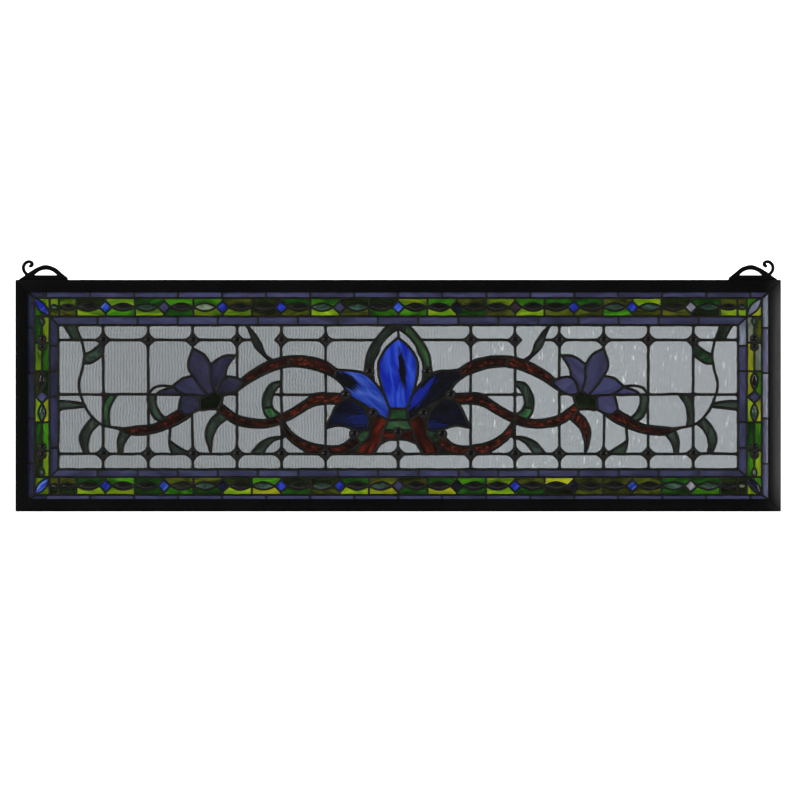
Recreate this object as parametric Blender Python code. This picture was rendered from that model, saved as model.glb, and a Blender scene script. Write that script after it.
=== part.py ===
"""A stained glass transom window in a metal channel frame with two cast hangers.

The window hangs in the XZ plane, its front faces -Y and +Z is up.
The origin lies midway between the eyes of the two hangers, at the underside of their arches.
"""

import math

import bmesh
import bpy
from mathutils import Vector
from mathutils.geometry import delaunay_2d_cdt

MM = 0.001

# Frame
PANEL_WIDTH = 838.2 * MM
PANEL_HEIGHT = 254.0 * MM
RAIL_FACE = 14.0 * MM
RAIL_LIP = 1.7 * MM
RAIL_WEB = 2.2 * MM

# Lead and glass
LEAD_THICKNESS = 5.0 * MM
GLASS_THICKNESS = 3.0 * MM
LEAD_WIDTH = 2.8 * MM
BORDER_LEAD_WIDTH = 2.2 * MM
GAP = 0.3 * MM
UNDER_LIP = 1.0 * MM

# Borders, from the rail inwards: outer strip, green band, inner strip
OUTER_STRIP_TOP = 6.0 * MM
OUTER_STRIP_BOTTOM = 4.4 * MM
OUTER_STRIP_SIDE = 6.8 * MM
BAND_TOP = 20.2 * MM
BAND_BOTTOM = 19.5 * MM
BAND_SIDE = 16.4 * MM
INNER_STRIP_TOP = 9.3 * MM
INNER_STRIP_BOTTOM = 8.3 * MM
INNER_STRIP_SIDE = 9.3 * MM
BAND_UNIT = 64.1 * MM
DIAMOND_HALF = 6.8 * MM
LENS_RISE = 4.2 * MM
SIDE_UNIT = 56.0 * MM
JEWEL_OFFSET = 31.1 * MM
JEWEL_PITCH = 8.5 * MM
END_CELL = 19.0 * MM

# Jewels
GUSSET_RADIUS = 5.5 * MM
FLOWER_RING_RADIUS = 4.6 * MM
JEWEL_RADIUS = 3.6 * MM
BORDER_JEWEL_RADIUS = 3.4 * MM
GUSSET_SIDES = 4
JEWEL_SIDES = 6
DOME_RISE = 0.7 * MM

# Hangers
HANGER_THICKNESS = 6.0 * MM
HANGER_SETBACK = 4.2 * MM
HANGER_LENGTH = 52.9 * MM
HANGER_HEIGHT = 21.4 * MM
EYE_WIDTH = 24.0 * MM
EYE_HEIGHT = 5.8 * MM
EYE_BAR = 4.8 * MM
EYE_CENTRE = 33.0 * MM
EYE_CORNER = 0.5 * MM
ARCH_BAR = 5.4 * MM
SCROLL_BAR = 3.5 * MM
HANGER_TOE = 2.0 * MM
EYE_STEPS = 10

# Middle line of the hanger's curl in millimetres, and the top of its arch as shares of the eye's width
# and of the arch's height
SCROLL_PATH = (
    (7.7, 6), (5.2, 9.2), (4.3, 12.9), (5.3, 16.4), (8, 19), (11.2, 19.6), (13.7, 18.2), (13.9, 16), (12, 14.6)
)
ARCH_SHARES = ((-0.65, 0.6), (-0.36, 0.85), (0, 1), (0.41, 0.83), (0.73, 0.45))

# How closely a drawn curve is followed
CURVE_TOLERANCE = 1.4 * MM
HANGER_TOLERANCE = 0.2 * MM
SMALLEST_PANE = 5.0 * MM * MM
SMALLEST_SIDE = 0.05 * MM
STRAIGHT = 0.99995
RING_CORE = 0.65
LENS_STEPS = 3

# The drawing is laid out on a field of this half width, top and bottom, and scaled to the real one
DRAWN_FIELD = (372.6, 77.5, -81.0)

FRAME_DEPTH = LEAD_THICKNESS + 2 * GAP + 2 * RAIL_LIP
EYE_UNDERSIDE = EYE_BAR + EYE_HEIGHT
MIDDLE = -(PANEL_HEIGHT / 2 + GAP + EYE_UNDERSIDE)

# Rectangles of the border lines: half width, top, bottom, measured from the window's middle
RIM_HALF = PANEL_WIDTH / 2 - RAIL_FACE
RIM_TOP = PANEL_HEIGHT / 2 - RAIL_FACE
RIM = (RIM_HALF, RIM_TOP, -RIM_TOP)
BAND_OUT = (RIM_HALF - OUTER_STRIP_SIDE, RIM_TOP - OUTER_STRIP_TOP, OUTER_STRIP_BOTTOM - RIM_TOP)
BAND_IN = (BAND_OUT[0] - BAND_SIDE, BAND_OUT[1] - BAND_TOP, BAND_OUT[2] + BAND_BOTTOM)
FIELD = (BAND_IN[0] - INNER_STRIP_SIDE, BAND_IN[1] - INNER_STRIP_TOP, BAND_IN[2] + INNER_STRIP_BOTTOM)

# Columns and rows of the clear field, with the stretches that show, in drawing units
ROW_HIGH = 61
ROW_MIDDLE = 1.2
ROW_LOW = -64
COLUMNS = {
    79.5: ((77.5, 36), (25, 1), (-7, -56.5), (-63, -81)),
    128: ((77.5, 40), (32, -81)),
    176.5: ((77.5, 17), (8, -23.5), (-29.5, -81)),
    225: ((77.5, 50), (-18, -81)),
    274: ((77.5, -35), (-40, -81)),
    323.3: ((77.5, -81),),
}
ROWS = {
    ROW_HIGH: ((24, 152.5), (159, DRAWN_FIELD[0])),
    ROW_MIDDLE: ((DRAWN_FIELD[0], 264), (266, 233), (194, 147.5), (140, 128), (129, 90)),
    ROW_LOW: ((0, DRAWN_FIELD[0]),),
}

# Curves of lead on one side of the window, in drawing units from its middle line
ARCH = [
    [(0, 77.5), (0, 63.5)],
    [(8, 79), (7, 69)],
    [(9.5, 79), (17.5, 70.3), (26.5, 58.5), (33.2, 46.2), (35.6, 34), (36.6, 23.2)],
    [(0, 74), (10.6, 66), (19, 56), (22.6, 47), (27, 37.5), (28, 28), (26.5, 15)],
]
CENTRE_PETAL = [
    [(0, 63.5), (12, 53), (20.2, 40), (21.5, 27), (18, 9), (12, -8), (9, -14.5)],
    [(0, -14.5), (9.5, -14.5)],
]
UPPER_PETAL = [
    [(69, 28.2), (57, 27.6), (46, 26.8), (36.5, 24), (27, 15.7), (15, 1)],
    [(9, -14.5), (11, -27)],
    [(11, -27), (24, -20), (37, -10), (52, -1.5), (62, 13), (74, 22.5)],
]
LOWER_PETAL = [
    [(79.5, -36), (73, -22), (66, -9), (53, -4), (39, -12), (32, -26), (33, -37)],
    [(31, -36.5), (42, -39), (58, -33.5), (68, -33), (79.5, -36)],
]
CALYX = [
    [(0, -26.5), (11, -27)],
    [(0, -38), (16, -38)],
    [(0, -44), (0, -81)],
    [(0, -48), (10, -48.5), (16, -51), (23, -54.5)],
]
ROOT = [
    [(27, -22), (30.5, -34), (33, -45), (44, -57), (45, -65)],
    [(11, -27), (15.5, -38), (19, -50), (27.5, -65)],
    [(39, -54), (48, -44)],
    [(29, -22), (33, -27)],
]
UPPER_VINE = [
    [(66, 28), (80, 37), (98, 42), (120, 42.7), (142, 37), (160, 27), (173, 17)],
    [(66.6, 30.5), (71, 17.5)],
    [(72, 21.8), (90, 28.5), (110, 32.2), (132, 29.5), (156, 19), (177, 5)],
    [(119, 31), (121, 44)],
]
MIDDLE_VINE = [
    [(58, 1), (75, 2.3), (91, 1.5), (104, -7), (120, -17), (141, -26), (158, -26.3), (177, -21.5), (195, -8)],
    [(57.5, 1), (57.5, -7)],
    [(63, -9), (80, -8.5), (95, -12), (112, -22), (135, -32.5), (158, -34.8), (180, -30), (198, -16)],
]
LOWER_VINE = [
    [(49, -45), (62, -54.5), (79, -55.5), (100, -51), (116, -41), (128, -25)],
    [(37, -48), (52, -60), (70, -66)],
    [(94, -66), (112, -54), (122, -45), (127.9, -32)],
]
OUTER_VINE = [
    [(240.5, -16), (254, -24), (268, -32), (290, -34.7), (306, -36.8)],
    [(224.5, -18), (232, -25), (246, -33), (270, -41), (291, -42.5), (306, -36.8)],
    [(300, -36.4), (324, -32), (338, -20), (347, -2), (349.8, 13), (345.5, 32), (344, 46), (347.5, 63)],
]
SIDE_FLOWER = [
    [(168, 15.5), (175, 18.5), (187, 20.5), (194.5, 15), (197.5, 5), (196, -1)],
    [(168, 15.5), (177, 6), (188, 1), (199, 1.5)],
    [(179, 44), (192, 43), (207, 33)],
    [(179, 44), (187.5, 31), (189.5, 17)],
    [(225, 52), (212, 44), (205, 31), (205, 18), (200.5, 2.5)],
    [(225, 52), (230, 33), (221, 16), (208.5, 0)],
    [(248, 9.5), (238, 18), (231, 20.5), (221, 22.5)],
    [(247, 10), (236, 2), (222, 0.5), (209, -1)],
    [(236.5, 2), (239, -7), (240.5, -16)],
    [(240.5, -16), (231, -21), (216, -14)],
    [(192, -1), (200, 4), (208.5, 0), (217.5, -3.5)],
    [(192, -1), (194, -8), (198, -14.5), (206, -14.5), (217, -15), (217.5, -3), (222, 1)],
    [(197.5, -14), (197.5, -22)],
]
LEAVES = [
    [(166, 77.5), (158, 68), (150.5, 57), (146, 45), (134, 37)],
    [(166, 77.5), (161, 66), (156, 53), (140, 37)],
    [(127, 15.5), (140, 12), (148, -4), (146, -19), (140, -27)],
    [(127, 13), (135, 5.5), (139, -7), (135, -17), (126, -22.5)],
    [(136.5, -12.3), (150, -14.2)],
    [(119, -48.5), (126, -45.5), (140, -46.5), (152, -53), (162, -65)],
    [(126, -45.5), (139, -51), (150, -65)],
    [(197.5, -19), (206, -28), (210.5, -43), (205, -64)],
    [(184, -22), (198, -34), (204, -48), (205, -64)],
    [(246, 10), (259, 10.8), (269, 7.5), (274, -3), (272, -14), (267, -24), (259, -29)],
    [(246, 10), (263, 3), (265.5, -8), (261, -19), (254, -25.5)],
    [(249.5, -34), (251, -49)],
    [(251, -49), (249.5, -58), (246, -65)],
    [(251, -49), (243, -55), (227, -65)],
    [(303, -37), (307, -50), (306, -65)],
    [(292, -41), (300, -52), (303.5, -65)],
    [(315, 2.5), (321, -5), (323.3, -14)],
    [(307, 2.5), (315, -10), (317.5, -22), (316, -35)],
    [(333, -22), (343, -34), (348.5, -47), (343, -65)],
    [(327, -30.5), (336, -39), (340.5, -53), (339, -65)],
    [(367, 79), (361, 69), (356, 60)],
    [(354, 79), (349.5, 67), (347, 60)],
    [(345, 44), (335, 49), (323.3, 59)],
    [(345, 35), (335, 36.5), (323.3, 45)],
    [(374, -6), (359, -6.5), (340, -10)],
    [(374, -15.5), (357, -13.5), (339, -11.5)],
]
LEAD_CURVES = (
    ARCH
    + CENTRE_PETAL
    + UPPER_PETAL
    + LOWER_PETAL
    + CALYX
    + ROOT
    + UPPER_VINE
    + MIDDLE_VINE
    + LOWER_VINE
    + OUTER_VINE
    + SIDE_FLOWER
    + LEAVES
)
FLOWER_JEWELS = ((31.5, 26), (57.5, 1), (27.5, -19.5), (48, -42), (0, -40))

# Coloured pieces that are solids of their own: a point inside each, and its colour
DEEP_GREEN = (0.02, 0.12, 0.03)
LEAF_GREEN = (0.03, 0.07, 0.05)
COBALT = (0.02, 0.04, 0.45)
NIGHT_BLUE = (0.01, 0.015, 0.06)
RED_BROWN = (0.16, 0.025, 0.012)
SLATE = (0.1, 0.09, 0.16)
MIDDLE_PIECES = {
    "centre_petal": ((0, 25), COBALT),
    "calyx_top": ((0, -20), DEEP_GREEN),
    "calyx_base": ((0, -32), DEEP_GREEN),
}
SIDE_PIECES = {
    "arch_glass": ((30, 45), DEEP_GREEN),
    "upper_petal": ((40, 12), COBALT),
    "lower_petal": ((50, -20), NIGHT_BLUE),
    "root_stem": ((24, -42), RED_BROWN),
    "upper_vine_inner": ((95, 36), RED_BROWN),
    "upper_vine_outer": ((140, 32), RED_BROWN),
    "middle_vine_inner": ((80, -3.5), RED_BROWN),
    "middle_vine_outer": ((160, -30.5), RED_BROWN),
    "lower_vine": ((105, -54), RED_BROWN),
    "outer_vine": ((250, -29), RED_BROWN),
    "flower_petal_front": ((185, 11), SLATE),
    "flower_petal_low": ((193, 30), SLATE),
    "flower_petal_tall": ((213, 30), SLATE),
    "flower_petal_back": ((234, 11), SLATE),
    "flower_petal_under": ((228, -9), SLATE),
    "flower_calyx": ((205, -8), DEEP_GREEN),
    "leaf_top": ((153, 55), LEAF_GREEN),
    "leaf_crescent": ((143, 0), LEAF_GREEN),
    "leaf_low": ((147, -52), LEAF_GREEN),
    "leaf_hooked": ((206, -37), LEAF_GREEN),
    "leaf_curled": ((270, -6), LEAF_GREEN),
    "leaf_slim": ((303, -48), LEAF_GREEN),
    "leaf_bright": ((320, -20), DEEP_GREEN),
    "leaf_corner": ((344, -48), LEAF_GREEN),
    "leaf_short": ((333, 43), LEAF_GREEN),
}
SIDES = {"left": -1, "right": 1}


def clear_scene():
    for item in list(bpy.data.objects):
        bpy.data.objects.remove(item, do_unlink=True)


def material(name, colour, roughness, metallic, transmission=0.0):
    made = bpy.data.materials.new(name)
    made.use_nodes = True
    shader = made.node_tree.nodes["Principled BSDF"]
    shader.inputs["Base Color"].default_value = (*colour, 1)
    shader.inputs["Roughness"].default_value = roughness
    shader.inputs["Metallic"].default_value = metallic
    shader.inputs["Transmission Weight"].default_value = transmission
    return made


def add(name, data, finish, collection):
    made = bpy.data.objects.new(name, data)
    data.materials.append(finish)
    collection.objects.link(made)
    return made


def scaled(x, z):
    """A point of the drawing on the real window."""
    half, top, bottom = DRAWN_FIELD
    share = (z - bottom) / (top - bottom)
    return Vector((x / half * FIELD[0], FIELD[2] + share * (FIELD[1] - FIELD[2])))


def mirrored(points):
    return [Vector((-point[0], point[1])) for point in points]


def smooth(points, steps=8):
    """A Catmull-Rom curve through the points."""
    ends = [2 * points[0] - points[1], *points, 2 * points[-1] - points[-2]]
    curve = []
    for a, b, c, d in zip(ends, ends[1:], ends[2:], ends[3:]):
        for step in range(steps):
            t = step / steps
            curve.append(
                (2 * b + (c - a) * t + (2 * a - 5 * b + 4 * c - d) * t**2 + (3 * b - 3 * c + d - a) * t**3) / 2
            )
    return [*curve, points[-1]]


def thinned(points, tolerance):
    """The same curve with the fewest points that stay within the tolerance of it."""
    if len(points) < 3:
        return points
    chord = points[-1] - points[0]
    reach = chord.length or 1e-9
    off = [abs(chord.cross(point - points[0])) / reach for point in points[1:-1]]
    worst = max(range(len(off)), key=off.__getitem__)
    if off[worst] < tolerance:
        return [points[0], points[-1]]
    split = worst + 1
    return thinned(points[: split + 1], tolerance)[:-1] + thinned(points[split:], tolerance)


def ring(centre, radius, sides):
    turn = math.tau / sides
    points = [centre + radius * Vector((math.cos(i * turn), math.sin(i * turn))) for i in range(sides)]
    return [*points, points[0]]


def rectangle(half, top, bottom):
    return [Vector(p) for p in ((-half, bottom), (half, bottom), (half, top), (-half, top), (-half, bottom))]


def arc(start, end, rise, steps=LENS_STEPS):
    """A shallow curve from start to end that bulges by rise to the left of its way."""
    side = (end - start).normalized().orthogonal()
    return [start.lerp(end, i / steps) + side * rise * math.sin(math.pi * i / steps) for i in range(steps + 1)]


def field_lines():
    """The lead curves of the field on both sides of the middle line."""
    lines = []
    for curve in LEAD_CURVES:
        points = [scaled(*point) for point in curve]
        drawn = thinned(smooth(points), CURVE_TOLERANCE) if len(points) > 2 else points
        lines += [drawn, mirrored(drawn)]
    for x, stretches in COLUMNS.items():
        for top, bottom in stretches:
            line = [scaled(x, top), scaled(x, bottom)]
            lines += [line, mirrored(line)]
    for z, stretches in ROWS.items():
        for start, end in stretches:
            line = [scaled(start, z), scaled(end, z)]
            lines += [line, mirrored(line)]
    return lines


def rings():
    """Centre, radius and number of sides of each widening of the lead that carries a jewel of the field."""
    places = [(x, z, GUSSET_RADIUS, GUSSET_SIDES) for x in COLUMNS for z in (ROW_HIGH, ROW_LOW)]
    places += [(x, z, FLOWER_RING_RADIUS, JEWEL_SIDES) for x, z in FLOWER_JEWELS]
    places.append((0, ROW_LOW, GUSSET_RADIUS, GUSSET_SIDES))
    made = []
    for x, z, radius, sides in places:
        centre = scaled(x, z)
        made.append((centre, radius, sides))
        if x > 0:
            made.append((Vector((-centre.x, centre.y)), radius, sides))
    return made


def mitres(outer, inner):
    """Lines across the corners of a strip between two rectangles."""
    corners = [(way, level) for way in (-1, 1) for level in (1, 2)]
    return [[Vector((way * outer[0], outer[level])), Vector((way * inner[0], inner[level]))] for way, level in corners]


def band_middle(level):
    """Height of the middle line of the green band, level 1 being the top one and 2 the bottom one."""
    return (BAND_OUT[level] + BAND_IN[level]) / 2


def band_count():
    """How many diamonds stand on each side of the middle one."""
    return int((BAND_IN[0] - BAND_UNIT / 2) / BAND_UNIT)


def band_lines():
    """Lines of the green band: its separators and the lens in each corner."""
    lines = []
    count = band_count()
    for level in (1, 2):
        for way in (-1, 1):
            places = [(i + 0.5) * BAND_UNIT for i in range(count + 1)]
            for x in [*places, places[-1] + END_CELL]:
                lines.append([Vector((way * x, BAND_OUT[level])), Vector((way * x, BAND_IN[level]))])
            outer = Vector((way * BAND_OUT[0], BAND_OUT[level]))
            inner = Vector((way * BAND_IN[0], BAND_IN[level]))
            lines += [arc(outer, inner, LENS_RISE), arc(outer, inner, -LENS_RISE)]
    heights = (BAND_IN[1], BAND_IN[2], side_middle() + SIDE_UNIT / 2, side_middle() - SIDE_UNIT / 2)
    for way in (-1, 1):
        for z in heights:
            lines.append([Vector((way * BAND_OUT[0], z)), Vector((way * BAND_IN[0], z))])
    return lines


def side_middle():
    return (BAND_IN[1] + BAND_IN[2]) / 2


def side_x(way):
    return way * (BAND_OUT[0] + BAND_IN[0]) / 2


def diamonds():
    """Outlines of the diamonds in the green band."""
    count = band_count()
    places = [Vector((i * BAND_UNIT, band_middle(level))) for level in (1, 2) for i in range(-count, count + 1)]
    places += [Vector((side_x(way), side_middle())) for way in (-1, 1)]
    return [ring(place, DIAMOND_HALF, 4)[:-1] for place in places]


def jewels():
    """Outlines of the round jewels, few-sided here."""
    made = [ring(centre, JEWEL_RADIUS, JEWEL_SIDES)[:-1] for centre, radius, sides in rings()]
    pair = SIDE_UNIT / 2 + JEWEL_OFFSET
    for way in (-1, 1):
        for up in (-1, 1):
            for place in (pair - JEWEL_PITCH / 2, pair + JEWEL_PITCH / 2):
                centre = Vector((side_x(way), side_middle() + up * place))
                made.append(ring(centre, BORDER_JEWEL_RADIUS, JEWEL_SIDES)[:-1])
    return made


def arrangement(lines, epsilon=0.5 * MM):
    """The lines cut where they cross: points and the edges between them."""
    points = []
    edges = []
    for line in lines:
        first = len(points)
        points += [Vector(point[:2]) for point in line]
        edges += [(i, i + 1) for i in range(first, len(points) - 1)]
    corners, sides, _, _, sources, _ = delaunay_2d_cdt(points, edges, [], 0, epsilon)
    return corners, [side for side, source in zip(sides, sources) if source]


def tidy(points, edges, rounds):
    """Drops what lies inside a jewel's ring, and then every end that leads nowhere."""
    kept = set()
    for a, b in edges:
        middle = (points[a] + points[b]) / 2
        if a != b and not any((middle - centre).length < radius * RING_CORE for centre, radius, _ in rounds):
            kept.add((min(a, b), max(a, b)))
    while True:
        degree = {}
        for edge in kept:
            for end in edge:
                degree[end] = degree.get(end, 0) + 1
        loose = {edge for edge in kept if min(degree[edge[0]], degree[edge[1]]) == 1}
        if not loose:
            return kept
        kept -= loose


def cells(points, edges):
    """The closed outlines between the lines, each anticlockwise."""
    around = {}
    for a, b in edges:
        around.setdefault(a, []).append(b)
        around.setdefault(b, []).append(a)
    for a, ends in around.items():
        ends.sort(key=lambda b: math.atan2(points[b].y - points[a].y, points[b].x - points[a].x))
    found = []
    used = set()
    for start in sorted((a, b) for a in around for b in around[a]):
        if start in used:
            continue
        loop = []
        a, b = start
        while (a, b) not in used:
            used.add((a, b))
            loop.append(points[a])
            ends = around[b]
            a, b = b, ends[ends.index(a) - 1]
        if area(loop) > 0:
            found.append(loop)
    return found


def area(outline):
    return sum(a.cross(b) for a, b in zip(outline, outline[1:] + outline[:1])) / 2


def inside(point, outline):
    hit = False
    for a, b in zip(outline, outline[1:] + outline[:1]):
        if (a.y > point.y) != (b.y > point.y):
            if point.x < a.x + (point.y - a.y) / (b.y - a.y) * (b.x - a.x):
                hit = not hit
    return hit


def inset(outline, distance):
    """The outline moved inwards; sides that shrink to nothing are dropped."""
    sides = [(a, (b - a).normalized()) for a, b in zip(outline, outline[1:] + outline[:1]) if (b - a).length > 1e-7]
    sides = [side for side, before in zip(sides, sides[-1:] + sides[:-1]) if side[1].dot(before[1]) < STRAIGHT]
    sides = [(a + Vector((-way.y, way.x)) * distance, way) for a, way in sides]
    while len(sides) > 2:
        corners = []
        for (a, way_a), (b, way_b) in zip(sides[-1:] + sides[:-1], sides):
            turn = way_a.cross(way_b)
            corners.append(b if abs(turn) < 0.02 else a + way_a * ((b - a).cross(way_b) / turn))
        lengths = [(q - p).dot(side[1]) for p, q, side in zip(corners, corners[1:] + corners[:1], sides)]
        worst = min(range(len(sides)), key=lengths.__getitem__)
        if lengths[worst] > SMALLEST_SIDE:
            loops = cells(*arrangement([[*corners, corners[0]]], 1e-6))
            return max(loops, key=area) if loops else []
        del sides[worst]
    return []


def polygon_curve(name, outlines, thickness):
    """A flat curve filled between its outlines, lying in XZ and centred on the sheet's middle."""
    data = bpy.data.curves.new(name, "CURVE")
    data.dimensions = "2D"
    data.fill_mode = "BOTH"
    data.extrude = thickness / 2
    for outline in outlines:
        spline = data.splines.new("POLY")
        spline.points.add(len(outline) - 1)
        spline.points.foreach_set("co", [v for p in outline for v in (p[0], p[1], 0, 1)])
        spline.use_cyclic_u = True
    return data


def upright(made, height=MIDDLE):
    """Turns a flat curve up into the window's plane."""
    made.rotation_euler = (math.pi / 2, 0, 0)
    made.location = (0, 0, height)
    return made


def leaded_sheet(rim, holes, panes, bosses, domes):
    """The lead net with its small glass in one sheet.

    The lead and the bosses stand proud of the panes in front, the holes go through,
    and the bosses and the domes rise to a point.
    """
    outlines = [rim, *holes, *panes, *bosses, *domes]
    points = []
    faces = []
    for outline in outlines:
        faces.append(list(range(len(points), len(points) + len(outline))))
        points += outline
    first_pane = 1 + len(holes)
    first_boss = first_pane + len(panes)
    triangles = delaunay_2d_cdt(points, [], faces, 1, 1e-6)
    sheet = bmesh.new()
    corners = [sheet.verts.new((point.x, -GLASS_THICKNESS / 2, point.y)) for point in triangles[0]]
    proud = []
    raised = {}
    for corner_ids, sources in zip(triangles[2], triangles[5]):
        source = max(sources)
        if 0 < source < first_pane:
            continue
        face = sheet.faces.new([corners[i] for i in corner_ids])
        if source == 0:
            proud.append(face)
        elif source >= first_boss:
            raised.setdefault(source, []).append(face)
    for parts in raised.values():
        whole = bmesh.ops.dissolve_faces(sheet, faces=parts)["region"]
        pointed = bmesh.ops.poke(sheet, faces=whole)
        bmesh.ops.translate(sheet, verts=pointed["verts"], vec=(0, -DOME_RISE, 0))
        proud += pointed["faces"]
    border = [edge for edge in sheet.edges if edge.is_boundary]
    walls = bmesh.ops.extrude_edge_only(sheet, edges=border)
    back_corners = [item for item in walls["geom"] if isinstance(item, bmesh.types.BMVert)]
    back_edges = [item for item in walls["geom"] if isinstance(item, bmesh.types.BMEdge)]
    bmesh.ops.translate(sheet, verts=back_corners, vec=(0, GLASS_THICKNESS, 0))
    bmesh.ops.triangle_fill(sheet, use_beauty=True, edges=back_edges)
    bmesh.ops.recalc_face_normals(sheet, faces=sheet.faces)
    front = bmesh.ops.extrude_face_region(sheet, geom=proud)
    bmesh.ops.delete(sheet, geom=[face for face in proud if face.is_valid], context="FACES")
    front_corners = [item for item in front["geom"] if isinstance(item, bmesh.types.BMVert)]
    bmesh.ops.translate(sheet, verts=front_corners, vec=(0, (GLASS_THICKNESS - LEAD_THICKNESS) / 2, 0))
    bmesh.ops.dissolve_edges(sheet, edges=[edge for edge in border if edge.is_valid], use_verts=True)
    bmesh.ops.triangulate(sheet, faces=sheet.faces)
    bmesh.ops.recalc_face_normals(sheet, faces=sheet.faces)
    data = bpy.data.meshes.new("leaded_panel")
    sheet.to_mesh(data)
    sheet.free()
    return data


def named_cell(found, seed):
    for outline in found:
        if inside(seed, outline):
            return outline
    raise ValueError(f"no pane at {seed}")


def coloured_pieces():
    """Name, seed point and colour of every coloured piece that is a solid of its own."""
    pieces = []
    for name, (seed, colour) in MIDDLE_PIECES.items():
        pieces.append((name, scaled(*seed), colour))
    for name, (seed, colour) in SIDE_PIECES.items():
        for side, way in SIDES.items():
            point = scaled(*seed)
            pieces.append((f"{name}_{side}", Vector((way * point.x, point.y)), colour))
    return pieces


def build_panel(collection):
    """The leaded sheet, and the coloured pieces in its openings."""
    borders = [rectangle(*sizes) for sizes in (glass_rim(), BAND_OUT, BAND_IN, FIELD)]
    strips = mitres(glass_rim(), BAND_OUT) + mitres(BAND_IN, FIELD)
    rounds = rings()
    lines = borders + strips + band_lines() + field_lines() + [ring(*widening) for widening in rounds]
    points, edges = arrangement(lines)
    found = cells(points, tidy(points, edges, rounds))
    pieces = coloured_pieces()
    chosen = [named_cell(found, seed) for name, seed, colour in pieces]
    holes = [inset(outline, LEAD_WIDTH / 2) for outline in chosen]
    panes = []
    for outline in found:
        if any(outline is other for other in chosen) or any(inside(centre, outline) for centre, _, _ in rounds):
            continue
        in_field = all(abs(p.x) < FIELD[0] + MM and FIELD[2] - MM < p.y < FIELD[1] + MM for p in outline)
        opening = inset(outline, (LEAD_WIDTH if in_field else BORDER_LEAD_WIDTH) / 2)
        if len(opening) > 2 and area(opening) > SMALLEST_PANE:
            panes.append(opening)
    reach_x = PANEL_WIDTH / 2 - RAIL_WEB - GAP
    reach_z = PANEL_HEIGHT / 2 - RAIL_WEB - GAP
    rim = rectangle(reach_x, reach_z, -reach_z)[:-1]
    finish = material("lead", (0.03, 0.028, 0.022), 0.6, 0.6)
    sheet = add("leaded_panel", leaded_sheet(rim, holes, panes, diamonds(), jewels()), finish, collection)
    sheet.location = (0, 0, MIDDLE)
    for (name, seed, colour), outline in zip(pieces, chosen):
        glass = material(f"glass_{name}", colour, 0.15, 0.0, 0.4)
        shape = inset(outline, LEAD_WIDTH / 2 + GAP)
        upright(add(name, polygon_curve(name, [shape], GLASS_THICKNESS), glass, collection))


def glass_rim():
    """The outermost border line: the strip glass runs a little way under the rail's lip."""
    more = UNDER_LIP + BORDER_LEAD_WIDTH / 2
    return (RIM[0] + more, RIM[1] + more, RIM[2] - more)


def rail(name, length, collection, finish):
    """A mitred channel along X, its open side up and its outer face at z = 0."""
    depth = FRAME_DEPTH / 2
    groove = depth - RAIL_LIP
    section = [
        (-depth, 0),
        (depth, 0),
        (depth, RAIL_FACE),
        (groove, RAIL_FACE),
        (groove, RAIL_WEB),
        (-groove, RAIL_WEB),
        (-groove, RAIL_FACE),
        (-depth, RAIL_FACE),
    ]
    channel = bmesh.new()
    start = [channel.verts.new((-length / 2 + z + GAP / 2, y, z)) for y, z in section]
    end_face = channel.faces.new(start)
    grown = bmesh.ops.extrude_face_region(channel, geom=[end_face])
    for item in grown["geom"]:
        if isinstance(item, bmesh.types.BMVert):
            item.co.x = -item.co.x
    bmesh.ops.recalc_face_normals(channel, faces=channel.faces)
    data = bpy.data.meshes.new(name)
    channel.to_mesh(data)
    channel.free()
    return add(name, data, finish, collection)


def build_frame(collection):
    finish = material("black_frame", (0.012, 0.012, 0.013), 0.4, 0.3)
    half_width = PANEL_WIDTH / 2
    half_height = PANEL_HEIGHT / 2
    places = {
        "frame_bottom_rail": (PANEL_WIDTH, 0, (0, 0, MIDDLE - half_height)),
        "frame_top_rail": (PANEL_WIDTH, math.pi, (0, 0, MIDDLE + half_height)),
        "frame_left_rail": (PANEL_HEIGHT, math.pi / 2, (-half_width, 0, MIDDLE)),
        "frame_right_rail": (PANEL_HEIGHT, -math.pi / 2, (half_width, 0, MIDDLE)),
    }
    for name, (length, turn, place) in places.items():
        made = rail(name, length, collection, finish)
        made.rotation_euler = (0, turn, 0)
        made.location = place


def arch_height(offset, span, rise):
    """Height of a circular arch at an offset from its middle."""
    radius = ((span / 2) ** 2 + rise**2) / (2 * rise)
    return rise - radius + math.sqrt(max(radius**2 - offset**2, 0))


def scroll_sides():
    """The two sides of the curled bar, from its root to its tip."""
    drawn_height = max(z for _, z in SCROLL_PATH) + SCROLL_BAR / MM / 2
    grow = HANGER_HEIGHT / MM / drawn_height
    path = [Vector((HANGER_SETBACK + x * MM, z * grow * MM)) for x, z in SCROLL_PATH]
    path = thinned(smooth(path), HANGER_TOLERANCE)
    outer = []
    inner = []
    for before, point, after in zip(path[:1] + path[:-1], path, path[1:] + path[-1:]):
        way = (after - before).normalized()
        side = Vector((-way.y, way.x)) * SCROLL_BAR / 2
        outer.append(point + side)
        inner.append(point - side)
    return outer, inner


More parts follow.
